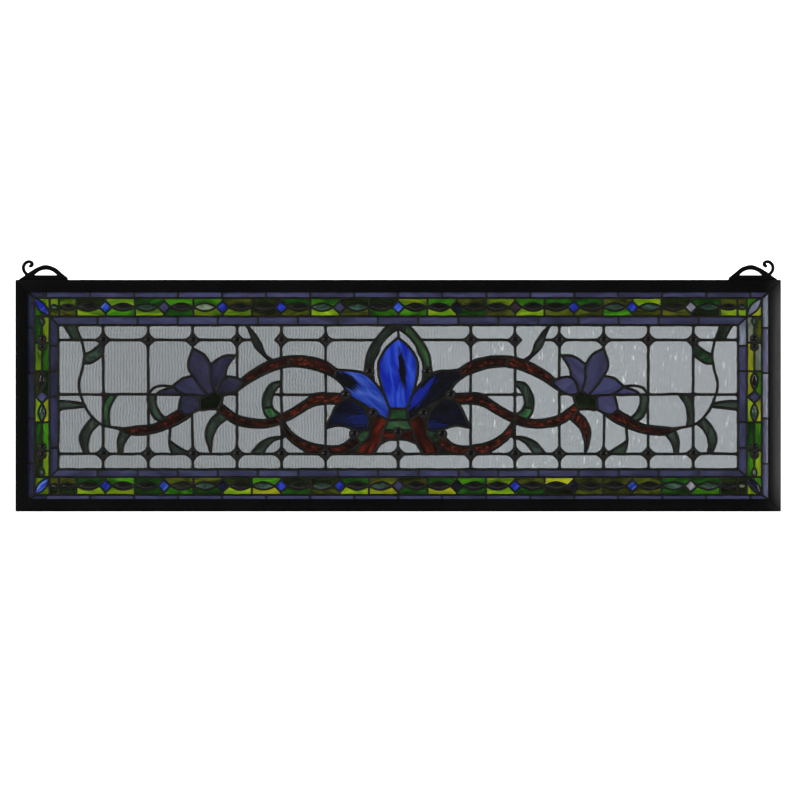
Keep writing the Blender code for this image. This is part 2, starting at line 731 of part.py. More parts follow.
def hanger_outlines():
    """Outline and eye of a hanger, from the window's outer edge inwards and from the rail upwards."""
    eye_start = EYE_CENTRE - EYE_WIDTH / 2
    eye = []
    for i in range(EYE_STEPS + 1):
        x = eye_start + EYE_WIDTH * i / EYE_STEPS
        eye.append(Vector((x, EYE_BAR + max(arch_height(x - EYE_CENTRE, EYE_WIDTH, EYE_HEIGHT), EYE_CORNER))))
    eye += [Vector((eye_start + EYE_WIDTH, EYE_BAR)), Vector((eye_start, EYE_BAR))]
    top = EYE_BAR + EYE_HEIGHT + ARCH_BAR
    inner_end = HANGER_SETBACK + HANGER_LENGTH
    arch = [Vector((EYE_CENTRE + x * EYE_WIDTH, z * top)) for x, z in ARCH_SHARES]
    arch = thinned(smooth([*arch, Vector((inner_end, HANGER_TOE))]), HANGER_TOLERANCE)
    outer, inner = scroll_sides()
    outline = [Vector((HANGER_SETBACK, 0)), *outer, *reversed(inner), *arch, Vector((inner_end, 0))]
    return outline, eye


def build_hangers(collection):
    finish = material("black_hanger", (0.015, 0.015, 0.015), 0.45, 0.3)
    outline, eye = hanger_outlines()
    for side, way in SIDES.items():
        shapes = []
        for shape in (outline, eye):
            shapes.append([Vector((way * (PANEL_WIDTH / 2 - p.x), p.y)) for p in shape])
        name = f"hanger_{side}"
        data = polygon_curve(name, shapes, HANGER_THICKNESS)
        upright(add(name, data, finish, collection), MIDDLE + PANEL_HEIGHT / 2 + GAP)


def main():
    clear_scene()
    collection = bpy.data.collections.new("stained_glass_window")
    bpy.context.scene.collection.children.link(collection)
    build_frame(collection)
    build_hangers(collection)
    build_panel(collection)


main()
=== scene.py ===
"""Stained glass transom window in a pale studio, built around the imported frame."""

import functools
import math
import random

import bmesh
import bpy
from bpy.props import FloatProperty, FloatVectorProperty, IntProperty, PointerProperty
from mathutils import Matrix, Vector, noise
from mathutils.geometry import delaunay_2d_cdt


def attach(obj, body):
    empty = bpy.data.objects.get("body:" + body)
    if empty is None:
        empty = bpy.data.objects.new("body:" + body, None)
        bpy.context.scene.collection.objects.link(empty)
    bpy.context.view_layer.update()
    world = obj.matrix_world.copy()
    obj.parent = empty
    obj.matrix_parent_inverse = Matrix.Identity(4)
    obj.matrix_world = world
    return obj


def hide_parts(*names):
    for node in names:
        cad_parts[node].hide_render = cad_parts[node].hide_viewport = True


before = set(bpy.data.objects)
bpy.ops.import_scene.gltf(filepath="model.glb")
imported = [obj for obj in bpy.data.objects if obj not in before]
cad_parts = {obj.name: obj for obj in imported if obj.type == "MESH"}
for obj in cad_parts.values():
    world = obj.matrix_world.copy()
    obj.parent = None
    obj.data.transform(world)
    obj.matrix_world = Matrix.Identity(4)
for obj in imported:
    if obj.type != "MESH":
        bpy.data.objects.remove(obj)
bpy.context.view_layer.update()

bl_info = {
    "name": "Stained Glass Window",
    "version": (1, 0, 0),
    "blender": (4, 5, 0),
    "location": "View3D > Sidebar > Window",
    "description": "Builds a leaded transom window with a lily, vines and a jewelled border",
    "category": "Object",
}

MM = 0.001
SIDES = {"left": -1, "right": 1}
WAYS = (-1, 1)
# Where a border line's (half width, top, bottom) holds its top and its bottom, and the way to the rim
LEVELS = {1: 1, 2: -1}
BODY = "root"
# Seed of the smooth field that the lead lines stray by
WANDER_SEED = 11

# Lines nearer than this are joined, and a side shorter than the second value is dropped
JOINT = 0.5 * MM
SHORTEST_SIDE = 0.02 * MM
# A smaller loop, or one slimmer than this in its mean half width, holds no glass
SPECK = 3 * MM * MM
SLIMMEST_FIELD = 1.4 * MM
SLIMMEST_BORDER = 0.7 * MM
# Sides of the lead around a jewel, and the share of its radius inside which lines end
GUSSET_SIDES = 4
RING_SIDES = 10
RING_CORE = 0.65
# A corner that turns less than this, in radians, isn't eased
SHARPEST_UNEASED = 0.35
# How far from a slip's edges the point that finds it lies, and how far from the band's middle as a share of
# the band's width
SEED_INSET = 3 * MM
SEED_SHARE = 0.3


# Properties


def length(name, description, millimetres):
    size = millimetres * MM
    return FloatProperty(name=name, description=description, default=size, unit="LENGTH", precision=5)


def factor(name, description, default):
    return FloatProperty(name=name, description=description, default=default, min=0, subtype="FACTOR")


def count(name, description, default):
    return IntProperty(name=name, description=description, default=default, min=1)


class FrameSizes(bpy.types.PropertyGroup):
    width: length("Width", "Outer width of the frame", 838.2)
    height: length("Height", "Outer height of the frame", 254)
    face: length("Rail face", "Width of a rail seen from the front", 14)
    lip: length("Rail lip", "Thickness of the channel's lips", 1.7)
    web: length("Rail web", "Thickness of the channel's web", 2.2)
    depth: length("Depth", "Depth of the channel from front to back", 9)
    gap: length("Gap", "Play between neighbouring pieces", 0.3)
    edge: length("Edge", "Rounding of the rail's edges", 0.7)


class BorderSizes(bpy.types.PropertyGroup):
    outer_top: length("Outer strip top", "Height of the outer strip at the top", 6)
    outer_bottom: length("Outer strip bottom", "Height of the outer strip at the bottom", 4.4)
    outer_side: length("Outer strip side", "Width of the outer strip at the sides", 6.8)
    band_top: length("Band top", "Height of the green band at the top", 20.2)
    band_bottom: length("Band bottom", "Height of the green band at the bottom", 19.5)
    band_side: length("Band side", "Width of the green band at the sides", 16.4)
    inner_top: length("Inner strip top", "Height of the inner strip at the top", 9.3)
    inner_bottom: length("Inner strip bottom", "Height of the inner strip at the bottom", 8.3)
    inner_side: length("Inner strip side", "Width of the inner strip at the sides", 9.3)
    outer_tile: length("Outer tile", "Length of a tile of the outer strip", 48.2)
    inner_tile: length("Inner tile", "Length of a tile of the inner strip", 43.9)
    side_outer_tile: length("Side outer tile", "Length of a tile of the outer strip at the sides", 49.6)
    side_inner_tile: length("Side inner tile", "Length of a tile of the inner strip at the sides", 27.9)
    unit: length("Band unit", "Distance between two diamonds", 64.1)
    side_unit: length("Side unit", "Length of the side band's middle part", 56)
    end_cell: length("End cell", "Width of the last cell of the band", 19)
    diamond: length("Diamond", "Half the diagonal of a diamond", 6.8)
    bead_rise: length("Bead rise", "Half the height of a lens bead", 4.2)
    jewel_offset: length("Jewel offset", "Distance of a pair of side jewels from the side unit", 31.1)
    jewel_pitch: length("Jewel pitch", "Distance between the two jewels of a pair", 8.5)
    under_lip: length("Under the lip", "How far the outer strip's glass runs under the frame's lip", 1)
    small_lens: length("Small lens", "Length of the small lens at the end of a band", 10.5)


class LeadSizes(bpy.types.PropertyGroup):
    width: length("Lead width", "Width of a lead line in the field", 3.2)
    border_width: length("Border lead width", "Width of a lead line in the borders", 2.6)
    glass: length("Glass", "Thickness of the glass", 3)
    rise: length("Bead height", "Height of the solder bead over the glass", 1.05)
    wander: length("Wander", "How far a line strays from its drawn course", 0.42)
    step: length("Step", "Distance between the points of an outline", 2.6)
    corner: length("Corner", "Rounding of the corners of a pane", 2.4)
    cover: length("Cover", "How far the glass runs under the lead", 0.55)


class JewelSizes(bpy.types.PropertyGroup):
    gusset: length("Gusset", "Radius of the lead around a jewel of the lattice", 6.6)
    flower_ring: length("Flower ring", "Radius of the lead around a jewel of the flower", 4.6)
    radius: length("Jewel", "Radius of a round jewel", 4.1)
    border_radius: length("Border jewel", "Radius of a jewel in the side bands", 3.5)
    border_ring: length("Border ring", "Radius of the lead around a jewel in the side bands", 4.1)
    dome: length("Dome", "Height of a jewel over the glass", 2.4)
    sides: count("Sides", "Sides of a round jewel", 20)


class HangerSizes(bpy.types.PropertyGroup):
    setback: length("Setback", "Distance from the window's end", 4.2)
    length: length("Length", "Length of the hanger's foot", 52.9)
    height: length("Height", "Height of the curl", 21.3)
    thickness: length("Thickness", "Thickness of the cast bar", 6)
    eye_width: length("Eye width", "Width of the eye", 24)
    eye_height: length("Eye height", "Height of the eye", 5.8)
    eye_bar: length("Foot bar", "Height of the bar under the eye", 4.8)
    eye_centre: length("Eye centre", "Distance of the eye from the window's end", 33)
    arch_bar: length("Arch bar", "Height of the bar over the eye", 5.4)
    scroll_bar: length("Scroll bar", "Thickness of the curl", 3.5)
    toe: length("Toe", "Height of the foot's thin end", 2)
    edge: length("Edge", "Rounding of the casting's edges", 0.8)


class StageSettings(bpy.types.PropertyGroup):
    distance: length("Distance", "Distance of the camera", 4000)
    focal: FloatProperty(name="Focal length", description="Focal length in millimetres", default=164.3, min=1)
    aim_x: length("Aim across", "Camera position across", 2.0)
    aim_z: length("Aim down", "Camera position under the window's middle", -4.7)
    floor: length("Floor", "Height of the floor", -1300)
    radius: length("Radius", "Radius of the floor", 7000)
    wall: length("Wall", "Height of the wall", 5200)
    tone: FloatVectorProperty(
        name="Tone",
        description="Colour of the floor and of the wall behind the window",
        default=(0.86, 0.86, 0.86),
        subtype="COLOR",
    )


GROUPS = {
    "window_frame": FrameSizes,
    "window_border": BorderSizes,
    "window_lead": LeadSizes,
    "window_jewel": JewelSizes,
    "window_hanger": HangerSizes,
    "window_stage": StageSettings,
}


def sizes(name):
    return getattr(bpy.context.scene, f"window_{name}")


# Drawing: columns, rows and curves of lead on one side of the middle line, in drawing units

DRAWN_FIELD = (372.6, 77.5, -81.0)
ROW_HIGH = 61
ROW_MIDDLE = 1.2
ROW_LOW = -64
COLUMNS = {
    79.5: ((77.5, 36), (25, 1), (-7, -56.5), (-63, -81)),
    128: ((77.5, 40), (32, -81)),
    176.5: ((77.5, 17), (8, -23.5), (-29.5, -81)),
    225: ((77.5, 50), (-18, -81)),
    274: ((77.5, -35), (-40, -81)),
    323.3: ((77.5, -81),),
}
ROWS = {
    ROW_HIGH: ((24, 152.5), (159, DRAWN_FIELD[0])),
    ROW_MIDDLE: ((DRAWN_FIELD[0], 264), (266, 233), (194, 147.5), (140, 128), (129, 90)),
    ROW_LOW: ((0, DRAWN_FIELD[0]),),
}
# Curves of lead, from the middle line outwards
CURVES = [
    # Arch over the flower
    [(0, 77.5), (0, 63.5)],
    [(8, 79), (7, 69)],
    [(9.5, 79), (17.5, 70.3), (26.5, 58.5), (33.2, 46.2), (35.6, 34), (36.6, 23.2)],
    [(0, 74), (10.6, 66), (19, 56), (22.6, 47), (27, 37.5), (28, 28), (26.5, 15)],
    # Centre petal
    [(0, 63.5), (12, 53), (20.2, 40), (21.5, 27), (18, 9), (12, -8), (9, -14.5)],
    [(0, -14.5), (9.5, -14.5)],
    # Upper petal
    [(69, 28.2), (57, 27.6), (46, 26.8), (36.5, 24), (27, 15.7), (15, 1)],
    [(9, -14.5), (11, -27)],
    [(11, -27), (24, -20), (37, -10), (52, -1.5), (62, 13), (74, 22.5)],
    # Lower petal
    [(79.5, -36), (73, -22), (66, -9), (53, -4), (39, -12), (32, -26), (33, -37)],
    [(31, -36.5), (42, -39), (58, -33.5), (68, -33), (79.5, -36)],
    # Calyx and foot of the flower
    [(0, -26.5), (11, -27)],
    [(0, -38), (16, -38)],
    [(0, -44), (0, -81)],
    [(0, -48), (10, -48.5), (16, -51), (23, -54.5)],
    # Root stem
    [(27, -22), (30.5, -34), (33, -45), (44, -57), (45, -65)],
    [(11, -27), (15.5, -38), (19, -50), (27.5, -65)],
    [(39, -54), (48, -44)],
    [(29, -22), (33, -27)],
    # Upper vine
    [(66, 28), (80, 37), (98, 42), (120, 42.7), (142, 37), (160, 27), (173, 17)],
    [(66.6, 30.5), (71, 17.5)],
    [(72, 21.8), (90, 28.5), (110, 32.2), (132, 29.5), (156, 19), (177, 5)],
    [(119, 31), (121, 44)],
    # Middle vine
    [(58, 1), (75, 2.3), (91, 1.5), (104, -7), (120, -17), (141, -26), (158, -26.3), (177, -21.5), (195, -8)],
    [(57.5, 1), (57.5, -7)],
    [(63, -9), (80, -8.5), (95, -12), (112, -22), (135, -32.5), (158, -34.8), (180, -30), (198, -16)],
    # Lower vine
    [(49, -45), (62, -54.5), (79, -55.5), (100, -51), (116, -41), (128, -25)],
    [(37, -48), (52, -60), (70, -66)],
    [(94, -66), (112, -54), (122, -45), (127.9, -32)],
    # Outer vine and thin stem
    [(240.5, -16), (254, -24), (268, -32), (290, -34.7), (306, -36.8)],
    [(224.5, -18), (232, -25), (246, -33), (270, -41), (291, -42.5), (306, -36.8)],
    [(300, -36.4), (324, -32), (338, -20), (347, -2), (349.8, 13), (345.5, 32), (344, 46), (347.5, 63)],
    # Side flower
    [(168, 15.5), (175, 18.5), (187, 20.5), (194.5, 15), (197.5, 5), (196, -1)],
    [(168, 15.5), (177, 6), (188, 1), (199, 1.5)],
    [(179, 44), (192, 43), (207, 33)],
    [(179, 44), (187.5, 31), (189.5, 17)],
    [(225, 52), (212, 44), (205, 31), (205, 18), (200.5, 2.5)],
    [(225, 52), (230, 33), (221, 16), (208.5, 0)],
    [(248, 9.5), (238, 18), (231, 20.5), (221, 22.5)],
    [(247, 10), (236, 2), (222, 0.5), (209, -1)],
    [(236.5, 2), (239, -7), (240.5, -16)],
    [(240.5, -16), (231, -21), (216, -14)],
    [(192, -1), (200, 4), (208.5, 0), (217.5, -3.5)],
    [(192, -1), (194, -8), (198, -14.5), (206, -14.5), (217, -15), (217.5, -3), (222, 1)],
    [(197.5, -14), (197.5, -22)],
    # Leaves
    [(166, 77.5), (158, 68), (150.5, 57), (146, 45), (134, 37)],
    [(166, 77.5), (161, 66), (156, 53), (140, 37)],
    [(127, 15.5), (140, 12), (148, -4), (146, -19), (140, -27)],
    [(127, 13), (135, 5.5), (139, -7), (135, -17), (126, -22.5)],
    [(136.5, -12.3), (150, -14.2)],
    [(119, -48.5), (126, -45.5), (140, -46.5), (152, -53), (162, -65)],
    [(126, -45.5), (139, -51), (150, -65)],
    [(197.5, -19), (206, -28), (210.5, -43), (205, -64)],
    [(184, -22), (198, -34), (204, -48), (205, -64)],
    [(246, 10), (259, 10.8), (269, 7.5), (274, -3), (272, -14), (267, -24), (259, -29)],
    [(246, 10), (263, 3), (265.5, -8), (261, -19), (254, -25.5)],
    [(249.5, -34), (251, -49)],
    [(251, -49), (249.5, -58), (246, -65)],
    [(251, -49), (243, -55), (227, -65)],
    [(303, -37), (307, -50), (306, -65)],
    [(292, -41), (300, -52), (303.5, -65)],
    [(315, 2.5), (321, -5), (323.3, -14)],
    [(307, 2.5), (315, -10), (317.5, -22), (316, -35)],
    [(333, -22), (343, -34), (348.5, -47), (343, -65)],
    [(327, -30.5), (336, -39), (340.5, -53), (339, -65)],
    [(367, 79), (361, 69), (356, 60)],
    [(354, 79), (349.5, 67), (347, 60)],
    [(345, 44), (335, 49), (323.3, 59)],
    [(345, 35), (335, 36.5), (323.3, 45)],
    [(374, -6), (359, -6.5), (340, -10)],
    [(374, -15.5), (357, -13.5), (339, -11.5)],
]
FLOWER_JEWELS = ((31.5, 26), (57.5, 1), (27.5, -19.5), (48, -42), (0, -40))


# Glass colours: light streak, body, deep streak, in linear light

GLASS = {
    "cobalt": ((0.03, 0.078, 0.58), (0.006, 0.018, 0.33), (0.003, 0.005, 0.08)),
    "cornflower": ((0.08, 0.17, 0.66), (0.014, 0.042, 0.38), (0.005, 0.012, 0.15)),
    "royal": ((0.03, 0.06, 0.5), (0.01, 0.022, 0.3), (0.005, 0.008, 0.08)),
    "indigo": ((0.02, 0.035, 0.2), (0.008, 0.014, 0.09), (0.004, 0.006, 0.03)),
    "night": ((0.009, 0.015, 0.06), (0.005, 0.005, 0.009), (0.003, 0.003, 0.004)),
    "black": ((0.006, 0.008, 0.022), (0.005, 0.005, 0.006), (0.003, 0.003, 0.003)),
    "slate": ((0.064, 0.071, 0.155), (0.048, 0.051, 0.112), (0.026, 0.027, 0.055)),
    # Lavender is the glass of the pale tiles at the right, a painted reflection, and of one corner lens
    "lavender": ((0.32, 0.36, 0.46), (0.16, 0.18, 0.26), (0.045, 0.055, 0.11)),
    "plum": ((0.06, 0.03, 0.05), (0.025, 0.014, 0.025), (0.01, 0.006, 0.01)),
    "pale": ((0.4, 0.38, 0.42), (0.22, 0.2, 0.26), (0.06, 0.05, 0.09)),
    "yellow": ((0.5, 0.52, 0.02), (0.24, 0.3, 0.008), (0.07, 0.11, 0.004)),
    "lime": ((0.286, 0.418, 0.011), (0.099, 0.22, 0.0055), (0.022, 0.077, 0.0033)),
    "sage": ((0.28, 0.34, 0.24), (0.1, 0.14, 0.09), (0.035, 0.05, 0.03)),
    "grass": ((0.069, 0.299, 0.0057), (0.0184, 0.115, 0.0034), (0.0069, 0.0403, 0.0023)),
    "deep": ((0.0161, 0.1035, 0.0057), (0.0057, 0.0345, 0.0034), (0.0023, 0.0103, 0.0011)),
    "olive": ((0.11, 0.132, 0.0088), (0.0308, 0.0396, 0.0044), (0.0088, 0.0121, 0.0022)),
    "moss": ((0.02, 0.036, 0.006), (0.008, 0.014, 0.003), (0.003, 0.005, 0.001)),
    "bead": ((0.012, 0.014, 0.009), (0.005, 0.006, 0.004), (0.002, 0.003, 0.002)),
    "teal": ((0.05, 0.11, 0.07), (0.018, 0.045, 0.03), (0.006, 0.014, 0.01)),
    "stem": ((0.17, 0.026, 0.012), (0.021, 0.007, 0.004), (0.006, 0.003, 0.002)),
    "dark_stem": ((0.1, 0.017, 0.009), (0.011, 0.005, 0.003), (0.004, 0.002, 0.002)),
    "root": ((0.17, 0.021, 0.01), (0.023, 0.006, 0.004), (0.006, 0.003, 0.002)),
    "leaf": ((0.055, 0.0875, 0.0625), (0.0225, 0.0363, 0.0263), (0.0088, 0.0125, 0.0088)),
    "bright_leaf": ((0.06, 0.2, 0.07), (0.018, 0.06, 0.022), (0.006, 0.016, 0.008)),
    "calyx": ((0.05, 0.14, 0.05), (0.02, 0.055, 0.026), (0.007, 0.015, 0.009)),
    "dark_calyx": ((0.014, 0.026, 0.008), (0.005, 0.008, 0.003), (0.002, 0.003, 0.001)),
    "arch": ((0.0607, 0.1755, 0.054), (0.0297, 0.0675, 0.0297), (0.0095, 0.0162, 0.0108)),
    "dark_arch": ((0.0312, 0.05, 0.035), (0.0137, 0.0213, 0.0163), (0.0063, 0.0088, 0.0063)),
    "violet": ((0.04, 0.04, 0.085), (0.028, 0.028, 0.06), (0.018, 0.018, 0.036)),
    # The next glass is a lighter copy of violet, painted light for the right side flower
    "iris": ((0.0682, 0.0713, 0.1628), (0.0512, 0.0543, 0.1209), (0.0326, 0.0326, 0.0713)),
    "jewel": ((0.003, 0.002, 0.002), (0.0015, 0.001, 0.001), (0.001, 0.001, 0.001)),
    # The light tone of the clear glass is also the colour of the painted glints on the right
    "clear": ((0.34, 0.366, 0.382), (0.17, 0.184, 0.192), (0.12, 0.13, 0.135)),
}

# Coloured pieces with a CAD solid of their own: a point inside, the glass on the left and on the right,
# the run of the streaks in degrees and the material slot
MIDDLE_PIECES = {
    "centre_petal": ((0, 25), "cobalt", 88, "cobalt_glass"),
    "calyx_top": ((0, -20), "calyx", 10, "green_glass"),
    "calyx_base": ((0, -32), "calyx", 5, "green_glass"),
}
SIDE_PIECES = {
    "arch_glass": ((30, 45), "dark_arch arch", 110, "green_glass"),
    "upper_petal": ((40, 12), "cornflower black", 40, "cobalt_glass"),
    "lower_petal": ((50, -20), "night black", 5, "night_blue_glass"),
    "root_stem": ((24, -42), "root root", 115, "red_brown_glass"),
    "upper_vine_inner": ((95, 36), "stem dark_stem", 15, "red_brown_glass"),
    "upper_vine_outer": ((140, 32), "dark_stem stem", -25, "red_brown_glass"),
    "middle_vine_inner": ((80, -3.5), "stem dark_stem", -15, "red_brown_glass"),
    "middle_vine_outer": ((160, -30.5), "dark_stem stem", 5, "red_brown_glass"),
    "lower_vine": ((105, -54), "dark_stem stem", 10, "red_brown_glass"),
    "outer_vine": ((250, -29), "dark_stem dark_stem", -20, "red_brown_glass"),
    # The right side flower takes the lighter copy of violet: painted light on its petals
    "flower_petal_front": ((185, 11), "violet iris", 40, "slate_glass"),
    "flower_petal_low": ((193, 30), "violet iris", 120, "slate_glass"),
    "flower_petal_tall": ((213, 30), "violet iris", 70, "slate_glass"),
    "flower_petal_back": ((234, 11), "violet iris", 20, "slate_glass"),
    "flower_petal_under": ((228, -9), "violet iris", -20, "slate_glass"),
    "flower_calyx": ((205, -8), "dark_calyx dark_calyx", 0, "green_glass"),
    "leaf_top": ((153, 55), "leaf leaf", 60, "leaf_glass"),
    "leaf_crescent": ((143, 0), "leaf leaf", 90, "leaf_glass"),
    "leaf_low": ((147, -52), "leaf leaf", -30, "leaf_glass"),
    "leaf_hooked": ((206, -37), "leaf stem", 80, "leaf_glass"),
    "leaf_curled": ((270, -6), "leaf leaf", 90, "leaf_glass"),
    "leaf_slim": ((303, -48), "leaf leaf", 100, "leaf_glass"),
    "leaf_bright": ((320, -20), "bright_leaf leaf", 95, "green_glass"),
    "leaf_corner": ((344, -48), "leaf leaf", 95, "leaf_glass"),
    "leaf_short": ((333, 43), "leaf bright_leaf", 35, "leaf_glass"),
}
# Patches of another glass in a piece: their middle in drawing units, half length and half width in
# millimetres, the glass and how ragged they are
PATCHES = {
    "centre_petal": (3.5, 33, 30, 4.8, "night", 1.1),
    "upper_petal_left": (-57, 17, 20, 10, "night", 0.8),
    "upper_petal_right": (25, 1, 26, 5.5, "royal", 1.5),
    "lower_petal_left": (-41, -27, 19, 8, "indigo", 3.5),
    "lower_petal_right": (36, -32, 16, 7, "indigo", 3),
    "calyx_top": (2, -20, 8, 4, "bright_leaf", 1.5),
}
# A place far outside the window, for the pieces without a patch
NOWHERE = (0, 9000)
# How many degrees the streaks of like pieces may differ
STREAK_PLAY = 12
# Small coloured panes of the field without a solid: a point inside, the glass and the run of its streaks
SMALL_PANES = {
    "leaf_edge": ((362, -10), "leaf", 5),
    "leaf_bud": ((357, 72), "leaf", 60),
    "leaf_foot": ((242, -59), "leaf", 40),
    "foot": ((10, -43), "root", 0),
    "cup": ((42, -49), "calyx", 40),
    "crescent_tip": ((143, -19), "bright_leaf", 70),
    "arch_top": ((4, 75.5), "dark_arch", 110),
}
# The green band, unit by unit from the left: its four slips (upper left, upper right, lower left,
# lower right) and its two beads; level 1 is the top band and 2 the bottom one
KINDS = {
    "m": "moss", "l": "lime", "y": "yellow", "g": "grass", "d": "deep", "o": "olive",
    "s": "sage", "b": "bead", "t": "teal",
}
UNITS = {
    1: "mllgbb dgldtb gollsb mdoobb gmlott mlggbb goldbb lgolbb ddoobb olgott mdombt".split(),
    2: "dgllbb dodgbb omdltb gmydtb mdoltb ooydtb dgydbb loldbb yomobb oooobb dddgtt".split(),
}
DIAMONDS = {
    1: "cornflower slate royal royal slate cornflower night plum royal royal pale".split(),
    2: "royal cornflower night royal royal slate night royal night cornflower pale".split(),
}
# Each end of a band: upper and lower slip, the two corner triangles, the small lenses and the corner lens
CORNERS = {
    (-1, 1): ("lolgt", "royal"),
    (-1, 2): ("omllt", "cornflower"),
    (1, 1): ("olgyt", "lavender"),
    (1, 2): ("mmlgs", "night"),
}
# Each side band from the top down: outer and inner slip of its six stretches, and the two beads of its unit
UPRIGHTS = {-1: ("dl lg md ly dg ml".split(), "bt"), 1: ("os sy gy yl gd lg".split(), "bt")}
# Heights over the window's middle, in millimetres, between which the tiles at the right are pale lavender: a
# painted reflection
PAINTED_REFLECTION_SPANS = {"outer_strip": ((76, 108), (-25, 22)), "inner_strip": ((58, 86), (2, 27))}
# How light the purple tiles are: darker at the left side as painted shade, and their lift elsewhere
STRIP_SHADE_AND_LIFTS = {"outer_strip": (0.55, 1.25), "inner_strip": (0.62, 1.0)}


# Plane geometry


def scaled(x, z):
    """A point of the drawing on the real window."""
    half, top, bottom = DRAWN_FIELD
    field = rectangles()["field"]
    height = field[1] - field[2]
    middle = (field[1] + field[2]) / 2
    return Vector((x / half * field[0], middle + (z - (top + bottom) / 2) / (top - bottom) * height))


@functools.cache
def rectangles():
    """Half width, top and bottom of each border line, measured from the window's middle."""
    outer, border, lead = sizes("frame"), sizes("border"), sizes("lead")
    half = outer.width / 2 - outer.face
    top = outer.height / 2 - outer.face
    more = border.under_lip + lead.border_width / 2
    band_out = (half - border.outer_side, top - border.outer_top, border.outer_bottom - top)

    def within(line, side, top_strip, bottom_strip):
        return line[0] - side, line[1] - top_strip, line[2] + bottom_strip

    band_in = within(band_out, border.band_side, border.band_top, border.band_bottom)
    field = within(band_in, border.inner_side, border.inner_top, border.inner_bottom)
    rim = (half + more, top + more, -top - more)
    return {"rim": rim, "band_out": band_out, "band_in": band_in, "field": field}


def mirrored(points):
    return [Vector((-point[0], point[1])) for point in points]


def smooth(points, steps=8):
    """A Catmull-Rom curve through the points."""
    ends = [2 * points[0] - points[1], *points, 2 * points[-1] - points[-2]]
    curve = []
    for a, b, c, d in zip(ends, ends[1:], ends[2:], ends[3:]):
        for step in range(steps):
            t = step / steps
            bend, twist = 2 * a - 5 * b + 4 * c - d, 3 * b - 3 * c + d - a
            curve.append((2 * b + (c - a) * t + bend * t**2 + twist * t**3) / 2)
    return [*curve, points[-1]]


def ring(centre, radius, sides):
    """A closed polygon around a centre."""
    turn = math.tau / sides
    return [centre + radius * Vector((math.cos(i * turn), math.sin(i * turn))) for i in range(sides + 1)]


def rectangle(half, top, bottom):
    corners = ((-half, bottom), (half, bottom), (half, top), (-half, top), (-half, bottom))
    return [Vector(corner) for corner in corners]


def arc(start, end, rise, steps=8):
    """A shallow curve from start to end that bulges by rise to the left of its way."""
    side = (end - start).normalized().orthogonal()
    shares = [i / steps for i in range(steps + 1)]
    return [start.lerp(end, share) + side * rise * math.sin(math.pi * share) for share in shares]


def field_lines():
    """The curves, columns and rows of the field, on both sides."""
    lines = []
    for curve in CURVES:
        points = [scaled(*point) for point in curve]
        drawn = smooth(points) if len(points) > 2 else points
        lines += [drawn, mirrored(drawn)]
    straight = [((x, top), (x, bottom)) for x, stretches in COLUMNS.items() for top, bottom in stretches]
    straight += [((start, z), (end, z)) for z, stretches in ROWS.items() for start, end in stretches]
    for ends in straight:
        line = [scaled(*end) for end in ends]
        lines += [line, mirrored(line)]
    return lines


@functools.cache
def rings():
    """Centre, radius and number of sides of each widening of the lead that carries a jewel."""
    jewel = sizes("jewel")
    places = [(x, z, jewel.gusset, GUSSET_SIDES) for x in COLUMNS for z in (ROW_HIGH, ROW_LOW)]
    places += [(x, z, jewel.flower_ring, RING_SIDES) for x, z in FLOWER_JEWELS]
    places.append((0, ROW_LOW, jewel.gusset, GUSSET_SIDES))
    made = []
    for x, z, radius, sides in places:
        centre = scaled(x, z)
        made += [(spot, radius, sides) for spot in ([centre, *mirrored([centre])] if x else [centre])]
    return made + [(centre, jewel.border_ring, RING_SIDES) for centre in side_jewels()]


def tile_joints(half, tile, shift):
    """Places of the joints between tiles, from a strip's middle; the last tiles aren't slivers."""
    reach = int(half / tile) + 1
    places = [(i + shift) * tile for i in range(-reach, reach + 1)]
    return [place for place in places if abs(place) < half - tile / 4]


def strip_lines(outer, inner, tile, side_tile, shift):
    """Lines across a strip of tiles between two border lines, and its mitres."""
    lines = []
    for x in tile_joints(inner[0], tile, shift):
        lines += [[Vector((x, outer[level])), Vector((x, inner[level]))] for level in LEVELS]
    middle = (outer[1] + outer[2]) / 2
    for offset in tile_joints((inner[1] - inner[2]) / 2, side_tile, 0.5 - shift):
        z = middle + offset
        lines += [[Vector((way * outer[0], z)), Vector((way * inner[0], z))] for way in WAYS]
    for way in WAYS:
        for level in LEVELS:
            lines.append([Vector((way * outer[0], outer[level])), Vector((way * inner[0], inner[level]))])
    return lines


def band_middle(level):
    box = rectangles()
    return (box["band_out"][level] + box["band_in"][level]) / 2


def side_middle():
    box = rectangles()["band_in"]
    return (box[1] + box[2]) / 2


def side_x(way):
    box = rectangles()
    return way * (box["band_out"][0] + box["band_in"][0]) / 2


def unit_count():
    unit = sizes("border").unit
    return int((rectangles()["band_in"][0] - unit / 2) / unit)


def side_jewels():
    """Middles of the round jewels of the side bands, in pairs."""
    border = sizes("border")
    pair = border.side_unit / 2 + border.jewel_offset
    steps = (pair - border.jewel_pitch / 2, pair + border.jewel_pitch / 2)
    return [Vector((side_x(way), side_middle() + up * step)) for way in WAYS for up in WAYS for step in steps]


